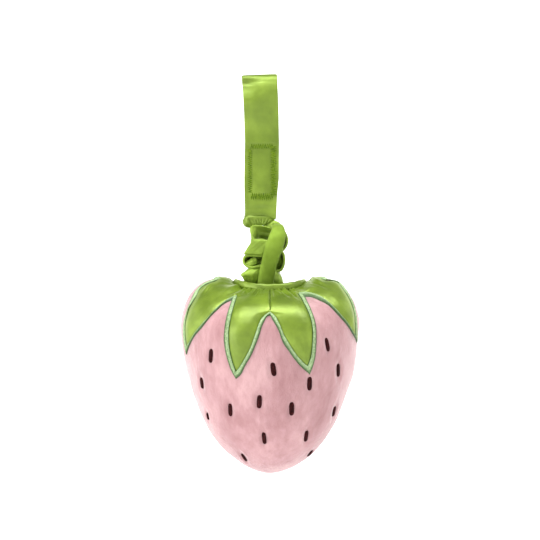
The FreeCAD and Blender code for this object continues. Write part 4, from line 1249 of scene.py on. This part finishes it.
folds.append(cloth_fold("cord_fold_lower_turn", [
    [(-7.8, -10.0, -128.2), (-5.0, -11.6, -127.8), (-1.6, -12.0, -128.0), (1.4, -10.6, -128.6)],
    [(-10.4, -12.8, -129.8), (-6.4, -15.2, -129.5), (-2.8, -15.6, -129.3), (1.0, -12.6, -129.4)],
    [(-13.4, -13.4, -132.3), (-8.8, -16.2, -131.7), (-3.8, -17.0, -131.3), (0.6, -13.2, -131.8)],
    [(-11.9, -12.8, -134.5), (-8.0, -14.4, -134.2), (-3.8, -15.0, -134.0), (0.4, -12.4, -134.8)],
    [(-10.3, -10.0, -138.0), (-7.2, -10.8, -138.2), (-3.4, -11.4, -138.4), (0.2, -10.6, -138.6)]], 1.4, 3.1))
folds.append(cloth_fold("cord_fold_lower_right", [
    [(4.0, -8.5, -128.8), (8.0, -9.5, -128.9), (10.6, -8.6, -129.4), (11.8, -5.0, -130.2)],
    [(4.0, -9.5, -130.4), (8.4, -11.0, -130.6), (12.0, -9.5, -131.0), (13.6, -5.0, -132.0)],
    [(4.0, -10.0, -133.6), (8.8, -11.6, -133.8), (13.4, -9.8, -134.2), (15.4, -4.6, -135.2)],
    [(4.0, -10.0, -138.6), (9.2, -11.4, -138.8), (14.4, -9.8, -139.0), (16.6, -4.6, -139.2)]], 1.2, 5.0))
folds.append(cloth_fold("cord_fold_tongue", [
    [(-10.6, -10.6, -124.6), (-8.6, -11.0, -122.6), (-6.4, -11.2, -121.0), (-4.0, -11.0, -120.0)],
    [(-9.9, -12.6, -125.2), (-7.7, -13.2, -123.4), (-5.4, -13.2, -121.7), (-3.1, -12.6, -120.5)],
    [(-8.8, -13.0, -126.2), (-6.6, -13.6, -124.9), (-4.2, -13.6, -123.3), (-2.2, -12.8, -121.8)],
    [(-7.0, -11.6, -127.0), (-5.2, -12.2, -126.4), (-3.4, -12.2, -125.4), (-1.9, -11.2, -124.0)]], 0.9, 4.4, n=40, m=40))
folds.append(cloth_fold("cord_fold_under_mouth", [
    [(-10.6, -11.4, -124.4), (-8.0, -12.2, -126.0), (-4.6, -12.6, -126.4), (-0.8, -12.4, -125.6)],
    [(-10.2, -13.2, -125.0), (-7.9, -14.2, -126.6), (-4.6, -14.6, -127.1), (-0.8, -14.2, -126.5)],
    [(-9.2, -12.0, -126.2), (-7.4, -13.0, -127.5), (-4.6, -13.4, -128.0), (-0.8, -13.0, -127.6)]], 0.9, 2.2, n=30, m=50))

folds.append(cloth_fold("cord_fold_right_inner", [
    [(7.0, -6.5, -116.0), (11.0, -6.2, -116.4), (14.4, -5.0, -117.2), (16.2, -2.0, -119.0)],
    [(7.0, -6.0, -120.4), (11.0, -5.6, -121.0), (14.8, -4.4, -121.6), (16.6, -1.6, -122.2)],
    [(7.0, -4.4, -124.6), (10.6, -4.0, -125.4), (14.2, -3.0, -126.0), (16.0, -1.0, -126.6)],
    [(7.0, -1.4, -127.6), (10.4, -1.0, -128.4), (13.0, -0.4, -128.8), (14.6, 0.6, -129.0)]], 0.9, 6.1, n=40, m=40))

mouth = fold_sheet("cord_fold_left", [(3.0, -119.2), (-2.0, -118.9), (-7.0, -118.6), (-10.4, -119.2), (-11.6, -121.6), (-11.2, -124.4), (-8.8, -126.6),
                                      (-5.4, -127.4), (-1.4, -126.9), (2.0, -125.6)], -13.2, -1.0, 2.0, flare=0.93)
rim = fold_sheet("cord_fold_right", [(9.5, -115.6), (13.6, -115.0), (16.4, -117.2), (17.2, -121.0), (17.0, -125.2), (15.2, -129.0), (11.8, -130.2), (8.6, -128.6)],
                 -9.4, 5.0, 1.7, flare=0.93)
rim2 = fold_sheet("cord_fold_upper_right", [(8.6, -96.2), (12.2, -97.2), (16.0, -100.0), (18.6, -104.0), (19.6, -108.3), (18.8, -111.8), (16.6, -114.8), (14.6, -116.6)],
                  -6.0, 2.5, 1.3, flare=0.55)
rim3 = fold_sheet("cord_fold_upper_right_inner", [(12.6, -99.6), (15.4, -102.2), (17.0, -105.8), (17.2, -109.4), (16.0, -112.6), (14.4, -114.8)],
                  -4.6, 2.0, 1.0, flare=0.5)
folds += [mouth, rim, rim2, rim3]


def inner_folds():
    """The folds packed inside the curls, seen only between them; their satin is coloured darker as painted shade."""
    parts = []
    for cx, cy, cz, rx, ry, rz in ((3.4, 3.0, -121.5, 11.6, 7.0, 8.0), (3.4, 1.0, -134.0, 11.0, 8.5, 6.4)):
        n, m = 60, 30
        a_, b_ = np.meshgrid(np.linspace(0, 2 * np.pi, n, endpoint=False), np.linspace(-np.pi / 2 + 0.05, np.pi / 2 - 0.05, m), indexing="xy")
        w_ = 1 + 0.05 * np.sin(a_ * 7 + b_ * 5) + 0.05 * np.sin(b_ * 13 + np.sin(a_ * 3) * 2)
        X = cx + rx * w_ * np.sin(a_) * np.cos(b_) ** 0.7
        Y = cy - ry * w_ * np.cos(a_) * np.cos(b_) ** 0.7
        Z = cz + rz * w_ * np.sin(b_)
        V = np.concatenate([np.stack([X, Y, Z], -1).reshape(-1, 3), [[cx, cy, cz - rz], [cx, cy, cz + rz]]])
        f_ = grid_faces(m, n, wrap_m=True)
        k_ = n * m
        f_ += [(k_, (q + 1) % n, q) for q in range(n)] + [(k_ + 1, (m - 1) * n + q, (m - 1) * n + (q + 1) % n) for q in range(n)]
        parts.append((V, f_, np.zeros((len(V), 2))))
    ob = join_grids("cord_inner_folds", parts)
    paint(ob, M_INNER_SHADE)
    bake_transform(ob)
    return ob


inner = inner_folds()

print("coil length", clen, "riser length", rlen)


# ------------------------------------------------------------------ folded lower end of the strap
def strap_end():
    """A soft pad across the strap's foot; rolled forward at the left, its lower edge drawn up under the cut end."""
    nx, m = 120, 64
    xs = np.linspace(-1, 1, nx)
    V = np.zeros((nx, m, 3))
    for i, u in enumerate(xs):
        x = -0.9 + 11.4 * u
        cap_ = max(0.0, 1 - abs(u) ** 7) ** 0.5
        low = np.interp(x, [-12.3, -11.2, -9.5, -7.3, -5.6, -3.6, -1.0, 2.6, 5.9, 8.8, 10.5], [-96.8, -98.4, -99.3, -99.5, -98.9, -97.8, -97.4, -97.8, -96.6, -94.9, -93.4])
        high = np.interp(x, [-12.3, -10.5, -8, 10.5], [-93.2, -91.2, -90.4, -90.2])
        zc, hz = (low + high) / 2, (high - low) / 2 * (0.55 + 0.45 * cap_)
        hy = np.interp(u, [-1, -0.75, -0.4, 0.5, 1], [3.0, 3.2, 2.6, 2.2, 1.6]) * cap_
        yc = np.interp(u, [-1, -0.6, 0, 0.6, 1], [-1.7, -1.6, -1.1, -1.0, -0.8])
        for j in range(m):
            p = 2 * math.pi * j / m
            c_, s_ = math.cos(p), math.sin(p)
            V[i, j] = (x, yc + hy * math.copysign(abs(c_) ** 0.7, c_), zc + hz * math.copysign(abs(s_) ** 0.8, s_))
    P = V.reshape(-1, 3)
    front = smooth(-P[:, 1], -0.5, 1.5)
    x, z = P[:, 0], P[:, 2]
    dep = np.zeros(len(P))
    # the fold that divides the rolled corner from the drawn-in middle
    xl = -8.4 + (x - x) + 3.4 * np.clip((-z - 92.5) / 5.5, 0, 1)
    dep += 1.1 * np.exp(-((x - xl) / 0.9) ** 2) * smooth(-z, 92.0, 94.5)
    # fine creases fanning down from under the cut end to the drawn-in point
    for k_, (x0, x1) in enumerate([(-6.0, -3.4), (-3.4, -1.6), (-1.0, -0.2), (1.8, 1.0), (4.8, 2.8), (7.2, 4.8)]):
        t_ = np.clip((z + 91.5) / -5.0, 0, 1)
        xl = x0 + (x1 - x0) * t_
        dep += 0.50 * np.exp(-((x - xl) / 0.45) ** 2) * smooth(-z, 92.4, 94.0) * (1 - smooth(-z, 96.4, 97.4))
    P[:, 1] += front * dep
    P[:, 1] -= front * 1.3 * np.exp(-((x + 10.0) / 2.0) ** 2 - ((z + 96.2) / 2.0) ** 2)
    return add_mesh("strap_lower_fold", P, grid_faces(nx, m, wrap_m=True, flip=True) + [tuple(range(m)), tuple((nx - 1) * m + i for i in range(m))[::-1]],
                    np.stack([P[:, 0] / 20, P[:, 2] / 20], -1))


se = strap_end()
paint(se, M_STRAP)
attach(se, "strap_end")
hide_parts("strap_end_fold")

# CAD nodes that stay: they are inside, and get their own threads and satin
for name, mat in (("upper_bar_tack", M_THREAD_AND_SHADE), ("lower_bar_tack", M_THREAD_AND_SHADE), ("cord_lower_end", M_CORD)):
    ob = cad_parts[name]
    ob.data.materials.clear()
    ob.data.materials.append(mat)


# ------------------------------------------------------------------ floor, backdrop and light
# a wide round floor whose rim sweeps up on all sides
prof = [(0.0004, -0.40), (0.2, -0.40), (0.6, -0.40), (1.4, -0.40), (2.6, -0.40)]
prof += [(2.9 + 1.1 * math.sin(q), 0.70 - 1.1 * math.cos(q)) for q in np.linspace(0.0, math.pi / 2, 14)] + [(4.0, 1.6), (4.0, 2.6)]
NB = 96
V = [(r * math.sin(q), -r * math.cos(q), z) for r, z in prof for q in np.linspace(0, 2 * math.pi, NB, endpoint=False)]
me = bpy.data.meshes.new("backdrop")
me.from_pydata(V, [], grid_faces(len(prof), NB, wrap_m=True))
me.polygons.foreach_set("use_smooth", [True] * len(me.polygons))
floor = bpy.data.objects.new("backdrop", me)
bpy.context.scene.collection.objects.link(floor)
fm, fnt, fb = new_mat("pale_paper")
fn = node(fnt, "ShaderNodeTexNoise", in_Scale=30.0, in_Detail=2.0)
fc = ramp(fnt, fn.outputs["Fac"], [(0.3, (0.93, 0.93, 0.93)), (0.7, (0.95, 0.95, 0.95))])
fnt.links.new(fc.outputs["Color"], fb.inputs["Base Color"])
fb.inputs["Roughness"].default_value = 0.9
fb.inputs["Emission Color"].default_value = (1.0, 1.0, 1.0, 1.0)
fb.inputs["Emission Strength"].default_value = 0.27
paint(floor, fm)


def area(name, loc, target, size, power, color=(1, 1, 1)):
    li = bpy.data.lights.new(name, "AREA")
    li.shape = "RECTANGLE"
    li.size, li.size_y = size
    li.energy = power
    li.color = color
    ob = bpy.data.objects.new(name, li)
    bpy.context.scene.collection.objects.link(ob)
    ob.location = loc
    d = Vector(target) - Vector(loc)
    ob.rotation_euler = d.to_track_quat("-Z", "Y").to_euler()
    ob.visible_camera = False
    return ob


area("softbox", (-0.55, -0.75, 1.05), (0, 0, -0.15), (1.3, 0.6), 11.0)
area("overhead", (0.10, -0.34, 1.25), (0, 0, -0.15), (1.9, 0.4), 28.0)
area("right_top", (0.80, -0.35, 1.05), (0, 0, -0.14), (0.6, 0.4), 5.0)
area("left", (-1.7, -0.7, 0.10), (0, 0, -0.18), (0.9, 0.9), 16.0)
area("wall_wash", (0, 1.6, 1.7), (0, 4.0, -0.2), (2.4, 1.0), 78.0)

world = bpy.data.worlds.new("studio") if not bpy.context.scene.world else bpy.context.scene.world
bpy.context.scene.world = world
world.use_nodes = True
bg = world.node_tree.nodes.get("Background")
bg.inputs["Color"].default_value = (1.0, 1.0, 1.0, 1.0)
bg.inputs["Strength"].default_value = 0.22
